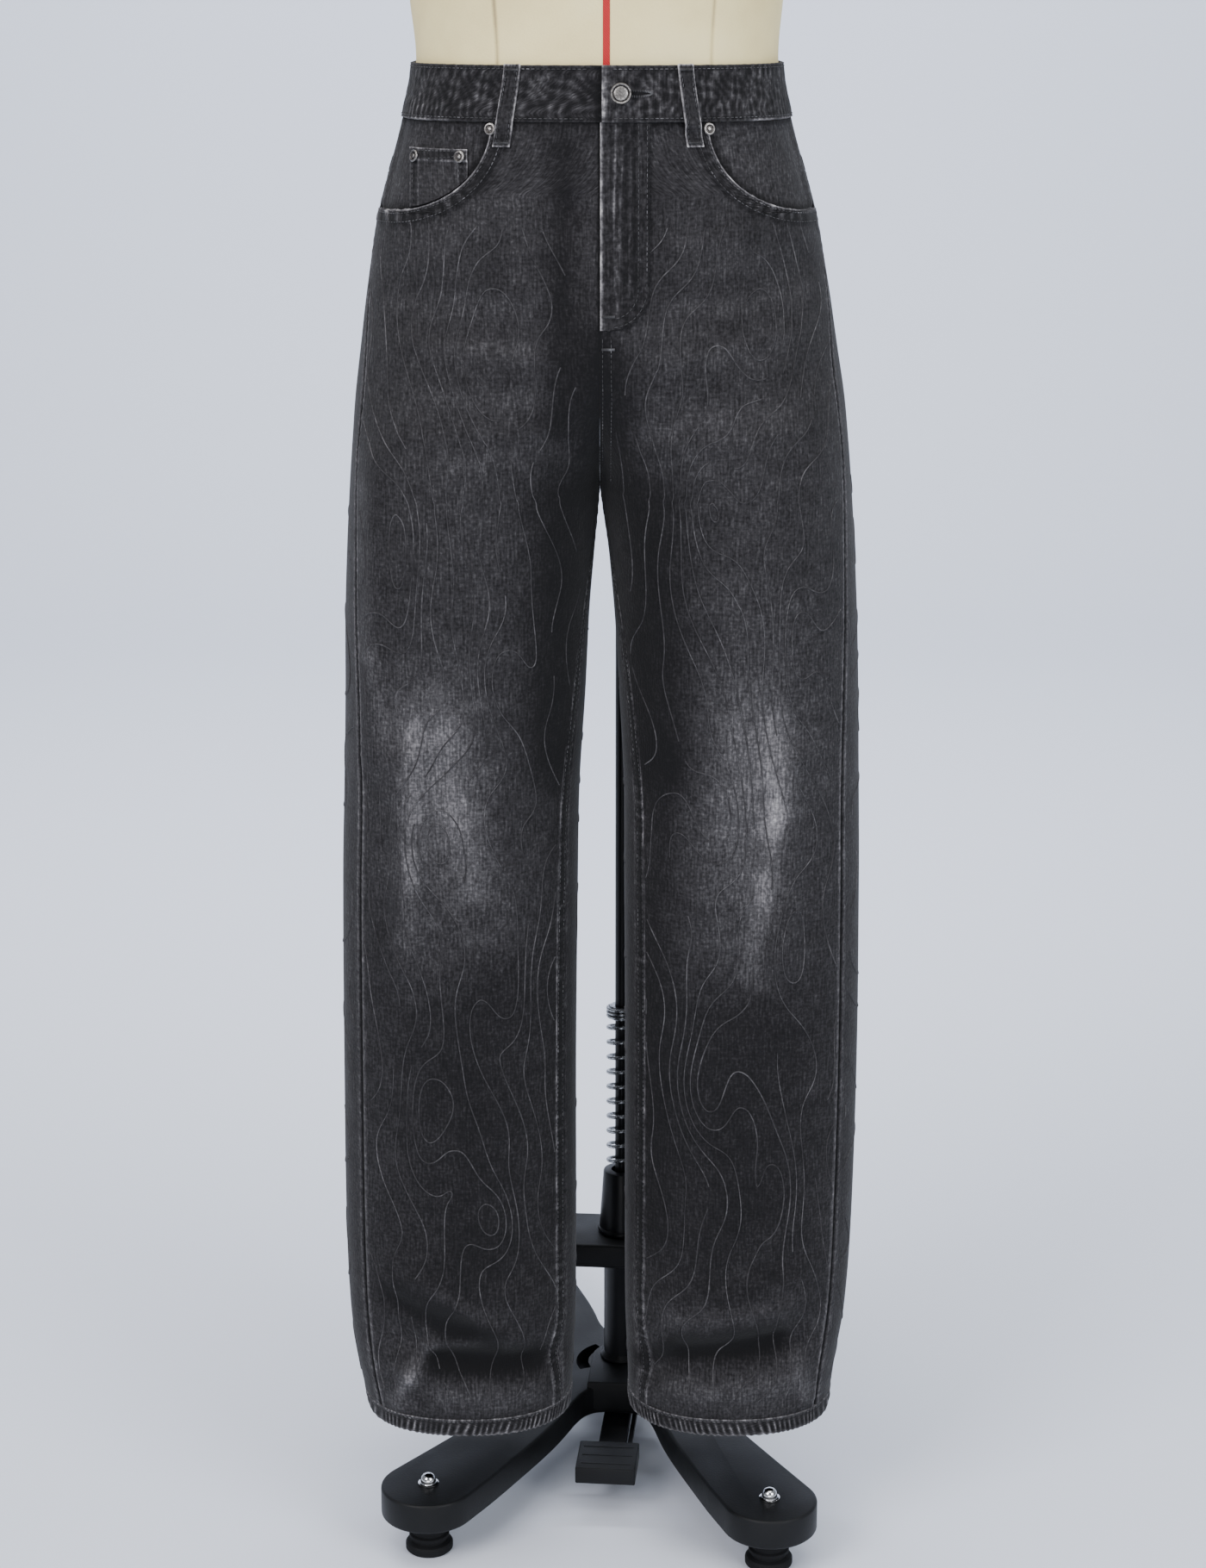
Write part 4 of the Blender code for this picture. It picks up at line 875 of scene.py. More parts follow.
# %% [markdown]
# ## Back pockets
# Each is a patch with a pointed foot and a top turned twice, laid on the seat. They are the
# plain ones that such jeans have, and they get a little narrower downwards.


# %% Back pockets
POCKET_TOP, POCKET_SIDE, POCKET_POINT = 1.104, 0.122, 0.16
POCKET_T, POCKET_TOP_HALF, POCKET_FOOT_HALF = 1.605, 0.3, 0.262  # middle and half widths in t


def back_pocket_shape(side):
    @shaped(60, 70)
    def shape(u, v):
        across, part = 2.0 * u - 1.0, 1.0 - v
        t = POCKET_T + across * (POCKET_TOP_HALF + (POCKET_FOOT_HALF - POCKET_TOP_HALF) * part)
        reach = POCKET_SIDE + (POCKET_POINT - POCKET_SIDE) * (1 - np.abs(across))
        z = POCKET_TOP - part * reach
        top = part * reach
        edge = np.minimum((1.0 - np.abs(across)) * 0.075, (1.0 - part) * reach)
        band = 0.0008 * (1.0 - smooth_step((top - 0.02) / 0.002))
        run = t * QUARTER_HIP
        rib, pale = ribs(edge, run + z, 0.008, 0.0084, 0.0003, seed=side)
        rib2, pale2 = ribs(top, run, 0.022, 0.009, 0.0002, seed=side + 2.0)
        point = cloth(side, t, z, LIFT + 0.0007 + LAYER)
        point = point + facing(side, t, z) * (band + rib + rib2)[..., None]
        wear_and_shade = 0.05 + 0.12 * pale + 0.04 * pale2 + 0.4 * worn_edge(edge, run + z, 0.0011, side)
        return point, wear_and_shade + 0.35 * worn_edge(top, run, 0.0011, side)
    return shape


print("back pocket:", round(1000 * POCKET_POINT), "mm from its top to its point")

# %% Sew the small pieces
for side, wearer in WEARER:
    inside_out = side < 0
    sew("yoke_panel_" + wearer, yoke_shape(side), "yoke_" + wearer, turn=inside_out)
    sew("facing_" + wearer, facing_shape(side), "pocket_facing_" + wearer, LAYER, inside_out)
    sew("patch_pocket_" + wearer, back_pocket_shape(side), "back_pocket_" + wearer, LAYER, inside_out)
sew("coin_pocket_patch", coin_shape, "coin_pocket", LAYER, turn=True)
sew("fly_layer", fly_shape, "fly", LAYER)
print("small pieces:", len(pieces) - 4)

# %% [markdown]
# ## Waistband
# The waistband is one long strip, folded lengthwise and stitched along both edges, whose fly
# end lies on its other end. The button goes through a slit in the upper one.


# %% Round the waist
def lap_height(place):
    """How high the fly end lies over the under end, going once round from 0 to 4.2."""
    lap = LAP_RISE * (1.0 - smooth_step((place - LAP_END - 0.02) / 0.13))
    return np.where(place > 1.0, 0.0, lap)


def waist(place, z, out):
    """A point of the waist: 0 is the centre front, 1 the left seam, 2 the back, 4 the front."""
    place, z = alike(np.asarray(place, float) % 4.0, z)
    left = place <= 2.0
    t = np.where(left, place, 4.0 - place)
    sides = [bare(s, t, z) + facing(s, t, z) * np.asarray(out)[..., None] for s in (1, -1)]
    point = np.where(left[..., None], sides[0], sides[1])
    point[..., 2] += BACK_RISE * smooth_step(t - 1.0)
    return point


print("waist seams at x:", [round(float(waist(s, WAIST_TOP, 0.0)[0]), 3) for s in (1.0, 3.0)])

# %% Waistband
BUTTON_X, BUTTON_Z, BUTTONHOLE_X = 0.0152, 1.2044, 0.027
BAND_START = 0.004
BAND_PLACES = np.concatenate((
    np.linspace(BAND_START, 0.5, 100), np.linspace(0.5, 3.95, 420)[1:],
    np.linspace(3.95, 4.0 + LAP_END, 41)[1:],
))


@shaped(len(BAND_PLACES) - 1, 20)
def waistband_shape(u, v):
    place = pick(BAND_PLACES, u)
    z = WAIST_TOP - BAND_HEIGHT + BAND_HEIGHT * v
    low, high = z - (WAIST_TOP - BAND_HEIGHT), WAIST_TOP - z
    run = place * 0.2
    rib, pale = ribs(low, run, 0.015, 0.0066, 0.0004, seed=1.0)
    rib2, pale2 = ribs(high, run, 0.01, 0.0095, 0.0003, seed=5.0)
    soft = 0.0003 * mottle(run, z, 1.0) * np.sin(math.pi * v)
    rows = hill(low - 0.002, 0.0011) + hill(high - 0.0022, 0.0011)
    end = (place - BAND_START) * 0.145
    edge = worn_edge(end, z, 0.0013, 2.0) + 0.45 * worn_edge(end - 0.0045, z, 0.001, 6.0)
    point = waist(place, z, BAND_PROUD + lap_height(place) + rib + rib2 + soft - 0.0003 * rows)
    sides = smooth_step((0.5 - np.abs(np.abs(place - 2.0) - 1.02)) / 0.08)
    wear_and_shade = (0.22 + 0.22 * sides) * pale + (0.16 + 0.16 * sides) * pale2
    wear_and_shade = wear_and_shade + (0.06 + 0.52 * sides) * worn_edge(low, run, 0.0013, 3.0)
    wear_and_shade = wear_and_shade + 0.16 * worn_edge(high, run, 0.001, 8.0) + 0.5 * edge - 0.05 - 0.1 * rows
    wear_and_shade = wear_and_shade + 0.1 * (end < 0.004) + 0.26 * mottle(run, z, 3.0) * np.sin(math.pi * v) ** 0.5
    x = point[..., 0]
    # the buttonhole's slit is only painted: a dark line of painted shade where the cut would open
    slit = hill(z - BUTTON_Z, 0.0013) * (np.abs(x - BUTTONHOLE_X) < 0.0095) * (place < 1.0)
    # the under end, beside and below the lapped fly end, is darkened with painted shade
    return point, wear_and_shade - 0.1 * (place > 3.99) - 0.5 * slit


sew("waistband_strip", waistband_shape, "waistband", BAND_THICK, rim=0.0007)
print("waistband:", round(float(cuts["waistband_strip"][0]), 3), "m long")

# %% [markdown]
# ## Belt loops
# A loop is a strip folded in three and stitched along both edges. Its ends are turned under
# and tacked, one at the top of the band and one below it, so it stands off the cloth between.


# %% Belt loops
LOOP_WIDTH, LOOP_BOTTOM, LOOP_THICK, LOOP_SLANT, LOOP_SIDE = 0.0125, 1.166, 0.0017, 0.018, 1.36
FRONT_LOOP = float(t_at(1, 0.0615, WAIST_TOP))
LOOP_TOP, LOOP_ROW = WAIST_TOP + 0.001, 0.0022
LOOPS = (
    ("front_left", FRONT_LOOP, LOOP_SLANT), ("side_left", LOOP_SIDE, 0.0), ("centre_back", 2.0, 0.0),
    ("side_right", 4.0 - LOOP_SIDE, 0.0), ("front_right", 4.0 - FRONT_LOOP, -LOOP_SLANT),
)


def loop_place(place, slant, across, z):
    """The place round the waist of a point of a belt loop, and how far out it lies."""
    t = min(place, 4.0 - place)
    width = float(np.linalg.norm(bare(1, t + 0.01, 1.2) - bare(1, t - 0.01, 1.2))) / 0.02
    place = place + slant * (LOOP_TOP - z) / (LOOP_TOP - LOOP_BOTTOM) + across / width
    settle = smooth_step((z - (WAIST_TOP - BAND_HEIGHT - 0.01)) / 0.008)
    return place, LIFT + LOOP_THICK + settle * (BAND_PROUD + lap_height(place))


def loop_shape(place, slant):
    @shaped(18, 60)
    def shape(u, v):
        z = LOOP_BOTTOM + (LOOP_TOP - LOOP_BOTTOM) * v
        across = LOOP_WIDTH * (u - 0.5)
        edge = LOOP_WIDTH / 2 - np.abs(across)
        rib, pale = ribs(edge, z, 0.004, 0.005, 0.00018, seed=place)
        where, out = loop_place(place, slant, across, z)
        sunk = 0.0003 * hill(edge - LOOP_ROW, 0.0007)
        end = np.minimum(z - LOOP_BOTTOM, LOOP_TOP - z)
        wear_and_shade = 0.16 * pale + 0.62 * worn_edge(edge, z, 0.0011, place)
        wear_and_shade = wear_and_shade + 0.55 * worn_edge(end, across, 0.0013, place) - 0.06 * hill(across, 0.0015)
        wear_and_shade = wear_and_shade - 0.14 * hill(edge - 0.0024, 0.0008) - 0.12 * hill(end - 0.0055, 0.001)
        return waist(where, z, out + rib - sunk), wear_and_shade
    return shape


for name, place, slant in LOOPS:
    sew("loop_" + name, loop_shape(place, slant), "belt_loop_" + name, LOOP_THICK)
print("belt loops:", len(LOOPS), "each", round(1000 * (LOOP_TOP - LOOP_BOTTOM)), "mm long")

# %% [markdown]
# ## Hems
# A hem is the leg's edge turned up twice and stitched. The layers shrink by different amounts
# in the wash, which twists the hem into slanting ribs like those of a rope.


# %% Hems
HEM_ROW = 0.0022  # from the hem's top edge to its stitches
HEM_THICK = 0.003


def hem_shape(side):
    @shaped(620, 12)
    def shape(u, v):
        t, z = 2.0 * u, HEM_BOTTOM + HEM_HEIGHT * v
        run = u * 0.5
        phase = (run + 0.45 * (z - HEM_BOTTOM)) * 2 * math.pi / HEM_RIB
        wave = np.sin(phase + 2.6 * waver(run * 0.8, side))
        wave = wave * (0.75 + 0.25 * waver(run * 1.3, side + 5.0))
        middle = np.sin(math.pi * np.clip(v * 1.15, 0.0, 1.0)) ** 0.7
        top = HEM_BOTTOM + HEM_HEIGHT - z
        stitch_row = hill(top - HEM_ROW, 0.001)
        crest = smooth_step(1.25 * wave - 0.1) * (0.75 + 0.25 * waver(run * 2.1, side + 9.0))
        point = cloth(side, t, z, 0.0006 + 0.0009 * wave * middle - 0.0003 * stitch_row)
        point[..., 2] += 0.0005 * wave * (1.0 - v)
        # the crests of the ribs are rubbed pale, and painted shade darkens the valleys between them
        wear_and_shade = 0.56 * crest * middle - 0.2 * np.maximum(-wave, 0.0) * middle
        wear_and_shade = wear_and_shade + 0.46 * worn_edge(z - HEM_BOTTOM, run * 3.0, 0.0018, side)
        wear_and_shade = wear_and_shade + 0.5 * worn_edge(top, run * 3.0, 0.0016, side + 2.0) - 0.1 * stitch_row
        front = point[..., 1] < section(z, "middle")
        return point, wear_and_shade * np.where(front, 1.0, 0.7) - 0.05
    return shape


for side, wearer in WEARER:
    sew("hem_fold_" + wearer, hem_shape(side), "hem_" + wearer, HEM_THICK, turn=side < 0,
        weld=0.0001, rim=0.0009)
print("cloth pieces:", len(pieces))

# %% [markdown]
# ## Finishes
# Colours are written as sRGB hex, as a colour picker shows them, and turned to linear light
# once. One small function adds a node, sets its values and links what feeds it.


# %% Colours and nodes
def linear(hex_colour):
    parts = [int(hex_colour[i:i + 2], 16) / 255 for i in (1, 3, 5)]
    return tuple(((p + 0.055) / 1.055) ** 2.4 if p > 0.04045 else p / 12.92 for p in parts) + (1.0,)


def add(tree, kind, inputs=None, stops=(), out=0, **settings):
    """Adds a node and gives one of its output sockets. An input that is such a socket is linked,
    anything else is its value. stops are the places and the hex colours along a colour ramp."""
    node = tree.nodes.new("ShaderNode" + kind)
    for key, value in settings.items():
        setattr(node, key, value)
    for key, value in (inputs or {}).items():
        if isinstance(value, bpy.types.NodeSocket):
            tree.links.new(value, node.inputs[key])
        else:
            node.inputs[key].default_value = value
    if stops:
        band = node.color_ramp
        while len(band.elements) < len(stops):
            band.elements.new(0.5)
        for element, (place, colour) in zip(band.elements, stops):
            element.position = place
            element.color = linear(colour)
    return node.outputs[out]


def finish_named(name, **constants):
    """A material with its Principled shader, whose constants are set straight on its sockets."""
    made = bpy.data.materials.new(name)
    made.use_nodes = True
    shader = made.node_tree.nodes["Principled BSDF"]
    for key, value in constants.items():
        shader.inputs[key.replace("_", " ")].default_value = value
    return made, made.node_tree, shader


def wire_up(tree, shader, colour, heights, roughness=None):
    """Ends a material: its colour, its roughness, and bumps, each a height and its depth in
    metres, stacked on each other."""
    tree.links.new(colour, shader.inputs["Base Color"])
    if roughness:
        tree.links.new(roughness, shader.inputs["Roughness"])
    facing_now = None
    for height, depth in heights:
        links = {"Height": height, "Strength": 1.0, "Distance": depth}
        if facing_now:
            links["Normal"] = facing_now
        facing_now = add(tree, "Bump", links)
    tree.links.new(facing_now, shader.inputs["Normal"])


print("charcoal in linear light:", [round(c, 4) for c in linear("#3a3a3e")[:3]])

# %% [markdown]
# ## Washed black denim
# Denim is a twill: black warp yarns over paler weft, so it reads as charcoal with short, slubby
# pale threads along the leg. Stone washing takes the dye off wherever the cloth stands proud.
# The real yarns are 0.5 mm wide, too fine for this picture, so they are drawn at 1.6 mm. The
# wear_and_shade attribute of each piece, which holds the rubbed fades and the painted shade and
# highlights, moves the colour along one ramp from ink black to pale grey.

# %% Denim
MM = 1000.0  # turns the metres of a map or a place into millimetres
BASE_TONE = 0.262  # where cloth that is neither worn nor dark lies on the ramp
THREADS = {  # mm across the leg, mm along it, detail, kind of noise
    "warp": (1.6, 13.0, 3.0, "FBM"), "weft": (9.0, 1.6, 2.0, "FBM"), "grain": (2.3, 2.6, 3.0, "FBM"),
    "crease": (15.0, 19.0, 5.0, "RIDGED_MULTIFRACTAL"),
}
CLOUDS = {"small cloud": (16.0, 4.0), "large cloud": (70.0, 3.0)}  # mm, detail
WEIGHTS = (("warp", 0.52), ("weft", 0.2), ("grain", 0.56), ("small cloud", 0.24),
           ("large cloud", 0.18))
# the ramp's dark end is used for the painted shade in folds, breaks and the crotch
DYE = ((0.0, "#08080a"), (0.16, "#151416"), (0.34, "#29282a"), (0.52, "#444345"), (0.72, "#6e6c6e"),
       (1.0, "#b2b0b0"))  # from ink black in the folds to yarn that has lost its dye


def denim(name, crinkle):
    """Adds the patterns up on one value, each centred on nothing, and looks it up in the dye."""
    # real: dry matt cotton with a faint fuzz, so no gloss and a little sheen at a glancing angle
    made, tree, shader = finish_named(
        name, Roughness=0.92, Sheen_Weight=0.06, Sheen_Roughness=0.5, Specular_IOR_Level=0.2,
    )
    weave = add(tree, "UVMap", uv_map="weave")
    place = add(tree, "TexCoord", out="Object")
    wear_and_shade = add(tree, "Attribute", attribute_name="wear_and_shade", out="Fac")
    drawn = {}
    for pattern, (across, along, detail, kind) in THREADS.items():
        stretched = add(tree, "Mapping", {0: weave, "Scale": (MM / across, MM / along, 1)})
        inputs = {0: stretched, "Scale": 1.0, "Detail": detail}
        drawn[pattern] = add(tree, "TexNoise", inputs, noise_type=kind)
    for pattern, (size, detail) in CLOUDS.items():
        inputs = {0: place, "Scale": MM / size, "Detail": detail, "Roughness": 0.6}
        drawn[pattern] = add(tree, "TexNoise", inputs)
    crease = add(tree, "MapRange", {0: drawn["crease"], 1: 1.05, 2: 1.75, 3: 0.0, 4: 1.0})
    value = add(tree, "Math", {0: wear_and_shade, 1: BASE_TONE}, operation="ADD")
    value = add(tree, "Math", {0: crease, 1: crinkle, 2: value}, operation="MULTIPLY_ADD")
    for pattern, weight in WEIGHTS:
        centred = add(tree, "Math", {0: drawn[pattern], 1: 0.5}, operation="SUBTRACT")
        value = add(tree, "Math", {0: centred, 1: weight, 2: value}, operation="MULTIPLY_ADD")
    colour = add(tree, "ValToRGB", {0: value}, DYE)
    heights = ((drawn["warp"], 0.0003), (drawn["grain"], 0.0004), (crease, 0.008 * crinkle))
    wire_up(tree, shader, colour, heights)
    return made


plain_denim = denim("washed_black_denim_plain", 0.03)
leg_denim = denim("washed_black_denim_crinkled", 0.13)
for name, piece in pieces.items():
    piece.data.materials.append(leg_denim if name.startswith("panel_") else plain_denim)
print("denim on", len(pieces), "pieces")

# %% [markdown]
# ## The form
# A dress form is papier-mâché or foam under tight cream canvas. Only its waist shows. Thin
# sewn seams divide the canvas. It is a closed ring of cloth points pulled in a little, as the
# solid is, so a grid welded at its ends serves again, with its top and foot filled.

# %% Torso form
FORM_RINGS = (  # height, how far inside the cloth's line
    (0.96, 0.066), (0.9615, 0.05), (0.968, 0.032), (0.985, 0.019), (1.015, 0.015), (1.06, 0.014),
    (1.11, 0.013), (1.15, 0.01), (1.174, 0.008), (1.184, 0.0055), (1.1865, 0.0028),
    (1.2045, 0.0028), (1.2245, 0.0028), (1.27, 0.0028), (1.303, 0.003), (1.3095, 0.006),
    (1.312, 0.012),
)
ring_z, ring_in = (np.array(column) for column in zip(*FORM_RINGS))
FORM_SEAM_X = ((1, 0.0845, False), (1, 0.08, True), (-1, 0.08, True), (-1, 0.0775, False))
side_seams = [float(t_at(s, x, 1.26, back)) for s, x, back in FORM_SEAM_X]
FORM_SEAMS = side_seams[:2] + [4.0 - t for t in side_seams[2:]]  # places round the waist
FORM_TOP_ROWS = (1.307, 1.3095, 1.3112, 1.312)
form_rows = np.concatenate((ring_z[:12], np.linspace(1.2045, 1.303, 26)[1:], FORM_TOP_ROWS))


def form_point(place, z, out=0.0):
    """A point of the form. Below the hips it keeps the line of the hips."""
    place = np.asarray(place, float) % 4.0
    level = np.maximum(z, BLEND_TOP)
    inside = np.interp(z, ring_z, ring_in)
    left = place <= 2.0
    t = np.where(left, place, 4.0 - place)
    sides = [bare(s, t, level) - facing(s, t, level) * (inside - out)[..., None] for s in (1, -1)]
    point = np.where(left[..., None], sides[0], sides[1])
    point[..., 2] = z
    return point


@shaped(288, len(form_rows) - 1)
def form_shape(u, v):
    z = pick(form_rows, v)
    place = 4.0 * u
    seam = np.min([np.abs(place - s) for s in FORM_SEAMS], axis=0) * 0.145
    groove = hill(seam, 0.0009)
    return form_point(place, z, -0.0005 * groove), groove


form = sew("form_canvas", form_shape, weld=0.0001, rim=0)
form.modifiers.remove(form.modifiers["cloth_thickness"])
tools = bmesh.new()
tools.from_mesh(form.data)
bmesh.ops.remove_doubles(tools, verts=tools.verts, dist=0.00005)
ends = [edge for edge in tools.edges if edge.is_boundary]
bmesh.ops.holes_fill(tools, edges=ends, sides=0)
bmesh.ops.recalc_face_normals(tools, faces=tools.faces)
tools.to_mesh(form.data)
tools.free()
form.modifiers.clear()
del pieces["form_canvas"]
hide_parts("torso_form")
print("form:", len(form.data.polygons), "faces, closed at both ends")

# %% Canvas
# real: unbleached plain weave cotton, drawn tight over the form. It is matt and pale, a little
# cloudy from handling, and its threads only just show. The seams sink, and painted shade darkens
# them.
CANVAS_CLOUD, CANVAS_THREAD = 500 / 7, 10 / 7  # mm; the real thread is 0.5 mm, drawn coarser
canvas, tree, shader = finish_named(
    "cream_cotton_canvas", Roughness=0.82, Sheen_Weight=0.08, Specular_IOR_Level=0.3,
)
place = add(tree, "TexCoord", out="Object")
groove = add(tree, "Attribute", attribute_name="wear_and_shade", out="Fac")
cloud = add(tree, "TexNoise", {0: place, "Scale": MM / CANVAS_CLOUD, "Detail": 3.0})
plain_weave = add(tree, "TexNoise", {0: place, "Scale": MM / CANVAS_THREAD, "Detail": 2.0})
# the sunken seams are darkened with painted shade
value = add(tree, "Math", {0: groove, 1: -0.55, 2: cloud}, operation="MULTIPLY_ADD")
value = add(tree, "Math", {0: plain_weave, 1: 0.12, 2: value}, operation="MULTIPLY_ADD")
stops = ((0.0, "#a0906a"), (0.35, "#dac992"), (0.62, "#eadba2"), (1.0, "#f3e8b8"))
colour = add(tree, "ValToRGB", {0: value}, stops)
wire_up(tree, shader, colour, ((plain_weave, 0.0002),))
form.data.materials.append(canvas)
print("canvas: threads drawn", round(CANVAS_THREAD, 1), "mm wide")

# %% [markdown]
# ## Centre tape
# A narrow woven tape is sewn down the form's centre front, so that a fitter can see the middle.
# It is one thin strip that follows the form, a little to the wearer's left of its seam.

# %% Centre tape
TAPE_X, TAPE_WIDE, TAPE_LOW, TAPE_HIGH = 0.005, 0.0052, 1.19, 1.3095


@shaped(4, 40)
def tape_shape(u, v):
    z = TAPE_LOW + (TAPE_HIGH - TAPE_LOW) * v
    place = t_at(1, TAPE_X + TAPE_WIDE * (u - 0.5), z)
    return form_point(place, z, 0.0006), 0 * z


tape = sew("centre_tape", tape_shape, thick=0.0004, rim=0.0001)
del pieces["centre_tape"]
# real: dyed cotton tape in a fine herringbone, which the eye only sees as slanting shade
HERRINGBONE = 100 / 33  # mm to a unit of the wave node, which then draws a band each 1.9 mm
cotton, tree, shader = finish_named("red_cotton_tape", Roughness=0.7, Sheen_Weight=0.1)
weave = add(tree, "UVMap", uv_map="weave")
inputs = {0: weave, "Scale": MM / HERRINGBONE, "Distortion": 0.6}
herring = add(tree, "TexWave", inputs, bands_direction="DIAGONAL", out="Fac")
colour = add(tree, "ValToRGB", {0: herring}, ((0.0, "#96060c"), (1.0, "#b91418")))
wire_up(tree, shader, colour, ((herring, 0.0001),))
tape.data.materials.append(cotton)
print("tape:", round(1000 * TAPE_WIDE, 1), "mm wide")

# %% [markdown]
# ## Turned and cast pieces
# The stand is lathe work and castings. A turned piece starts as a line of vertices that is
# spun once round its axis. A flat casting starts as an outline that is pulled up and whose
# edges are then bevelled, as the paint and the mould leave them.

# %% Helpers for solid pieces
POST_X, BASE_TURN = 0.0195, math.radians(-5.0)
STAND = Matrix.Translation((POST_X, 0, 0)) @ Matrix.Rotation(BASE_TURN, 4, "Z")


def turned(tools, profile, steps=56, frame=Matrix()):
    """Spins a profile of (radius, height) pairs round Z, then moves it to its place."""
    line = [tools.verts.new((radius, 0, z)) for radius, z in profile]
    edges = [tools.edges.new(pair) for pair in zip(line, line[1:])]
    before = set(tools.verts) - set(line)
    bmesh.ops.spin(tools, geom=line + edges, cent=(0, 0, 0), axis=(0, 0, 1), angle=2 * math.pi,
                   steps=steps, use_merge=True, use_normal_flip=False, use_duplicate=False)
    made = [vert for vert in tools.verts if vert not in before]
    bmesh.ops.remove_doubles(tools, verts=made, dist=1e-6)
    made = [vert for vert in tools.verts if vert not in before]
    bmesh.ops.transform(tools, matrix=frame, verts=made)


def slab(tools, outline, low, high, soft, frame=Matrix(), segments=3):
    """Pulls an outline up into a slab and rounds its edges."""
    before = set(tools.faces)
    floor_face = tools.faces.new([tools.verts.new((x, y, low)) for x, y in outline])
    pulled = bmesh.ops.extrude_face_region(tools, geom=[floor_face])["geom"]
    top = [item for item in pulled if isinstance(item, bmesh.types.BMVert)]
    bmesh.ops.translate(tools, verts=top, vec=(0, 0, high - low))
    faces = [face for face in tools.faces if face not in before]
    bmesh.ops.recalc_face_normals(tools, faces=faces)
    flat = [face for face in faces if abs(face.normal.z) > 0.9]
    rims = list({edge for face in flat for edge in face.edges})
    if len(outline) == 4:
        rims = list({edge for face in faces for edge in face.edges})
    bmesh.ops.bevel(tools, geom=rims, offset=soft, segments=segments, profile=0.5, affect="EDGES",
                    material=-1)
    verts = list({vert for face in tools.faces if face not in before for vert in face.verts})
    bmesh.ops.transform(tools, matrix=frame, verts=verts)


def oblong(x0, y0, x1, y1):
    return [(x0, y0), (x1, y0), (x1, y1), (x0, y1)]


def solid_piece(name, tools, finish, body, replaced):
    """Puts a finished solid in the scene, in place of the solids that replaced lists."""
    bmesh.ops.recalc_face_normals(tools, faces=tools.faces)
    mesh = into_mesh(tools, name)
    mesh.shade_smooth()
    mesh.set_sharp_from_angle(angle=math.radians(32))
    for layer in finish if isinstance(finish, tuple) else (finish,):
        mesh.materials.append(layer)
    piece = into_scene(name, mesh)
    if body:
        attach(piece, body)
    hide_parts(*replaced)
    return piece


def round_line(cx, cy, radius, start, end, steps):
    """Points on an arc, with its angles in degrees."""
    angles = np.radians(np.linspace(start, end, steps + 1))
    return [(cx + radius * math.cos(a), cy + radius * math.sin(a)) for a in angles]


print("the stand's middle is", 1000 * POST_X, "mm off the form's, and it is turned a little")

# %% [markdown]
# ## Finishes of the stand
# The castings are painted satin black over a slightly rough skin. The spring is bright drawn
# wire, the cap nuts are chromed, and the feet are black rubber. Metals keep the default IOR.

# %% Paint, steel, chrome and rubber
def painted(name, colour, roughness, grain_size, depth):
    """Paint or rubber: one grain raises the skin, and wide clouds vary its colour and gloss."""
    made, tree, shader = finish_named(name, Specular_IOR_Level=0.2)
    place = add(tree, "TexCoord", out="Object")
    skin = add(tree, "TexNoise", {0: place, "Scale": MM / grain_size, "Detail": 3.0})
    wide = add(tree, "TexNoise", {0: place, "Scale": MM / 45.0, "Detail": 3.0})
    tone = add(tree, "ValToRGB", {0: wide}, ((0.3, colour), (0.75, "#151618")))
    inputs = {0: wide, 1: 0.3, 2: 0.7, 3: roughness - 0.05, 4: roughness + 0.07}
    rough = add(tree, "MapRange", inputs)
    wire_up(tree, shader, tone, ((skin, depth),), rough)
    return made


def bare_metal(name, pale, dark, roughness, grain_size):
    """Metal whose grain is duller and darker in its hollows."""
    made, tree, shader = finish_named(name, Metallic=1.0)
    place = add(tree, "TexCoord", out="Object")
    grain = add(tree, "TexNoise", {0: place, "Scale": MM / grain_size, "Detail": 4.0})
    tone = add(tree, "ValToRGB", {0: grain}, ((0.32, dark), (0.62, pale)))
    inputs = {0: grain, 1: 0.3, 2: 0.7, 3: roughness + 0.06, 4: roughness - 0.04}
    rough = add(tree, "MapRange", inputs)
    wire_up(tree, shader, tone, ((grain, 0.00002),), rough)
    return made


# sand cast iron under thick paint: soft broad glints, broken by the skin's grain
casting = painted("satin_black_painted_casting", "#0c0d0e", 0.5, 1.6, 0.00012)
# drawn tube under thin paint: smoother, so one long glint runs down it
painted_steel = painted("satin_black_painted_steel", "#141517", 0.34, 2.4, 0.00005)
# moulded rubber: dull, so that the ribs of a foot show by their shade alone
rubber = painted("black_rubber_moulded", "#0c0c0d", 0.72, 1.1, 0.0002)
# wire as it comes from the die: grey, with a sharp glint on every coil
spring_wire = bare_metal("bright_drawn_steel_wire", "#a9abad", "#5d5f62", 0.26, 2.2)
# plated steel: it mirrors the lamps and the floor
chromed = bare_metal("polished_chrome_plate", "#e6e7e8", "#c9cacc", 0.1, 6.0)
# silver plated brass, tumbled with the jeans: rubbed grey on top, and dark where nothing rubs
antique = bare_metal("antique_silver_plated_brass", "#9b9894", "#5f5c5a", 0.38, 1.3)
hollow = bare_metal("antique_silver_darkened_hollow", "#54514f", "#262424", 0.46, 0.9)
print("metals:", [made.name for made in (spring_wire, chromed, antique, hollow)])

# %% [markdown]
# ## The base
# One heavy casting: four legs that end in round pads and run into each other in wide curves,
# with two curved slots beside a raised boss that carries the post. One outline is drawn for it
# all, from the pads' arcs and soft curves between them. The slots are cut with a Boolean
# modifier, because a hole in a flat face isn't an outline. Each pad has a rubber foot and a nut.

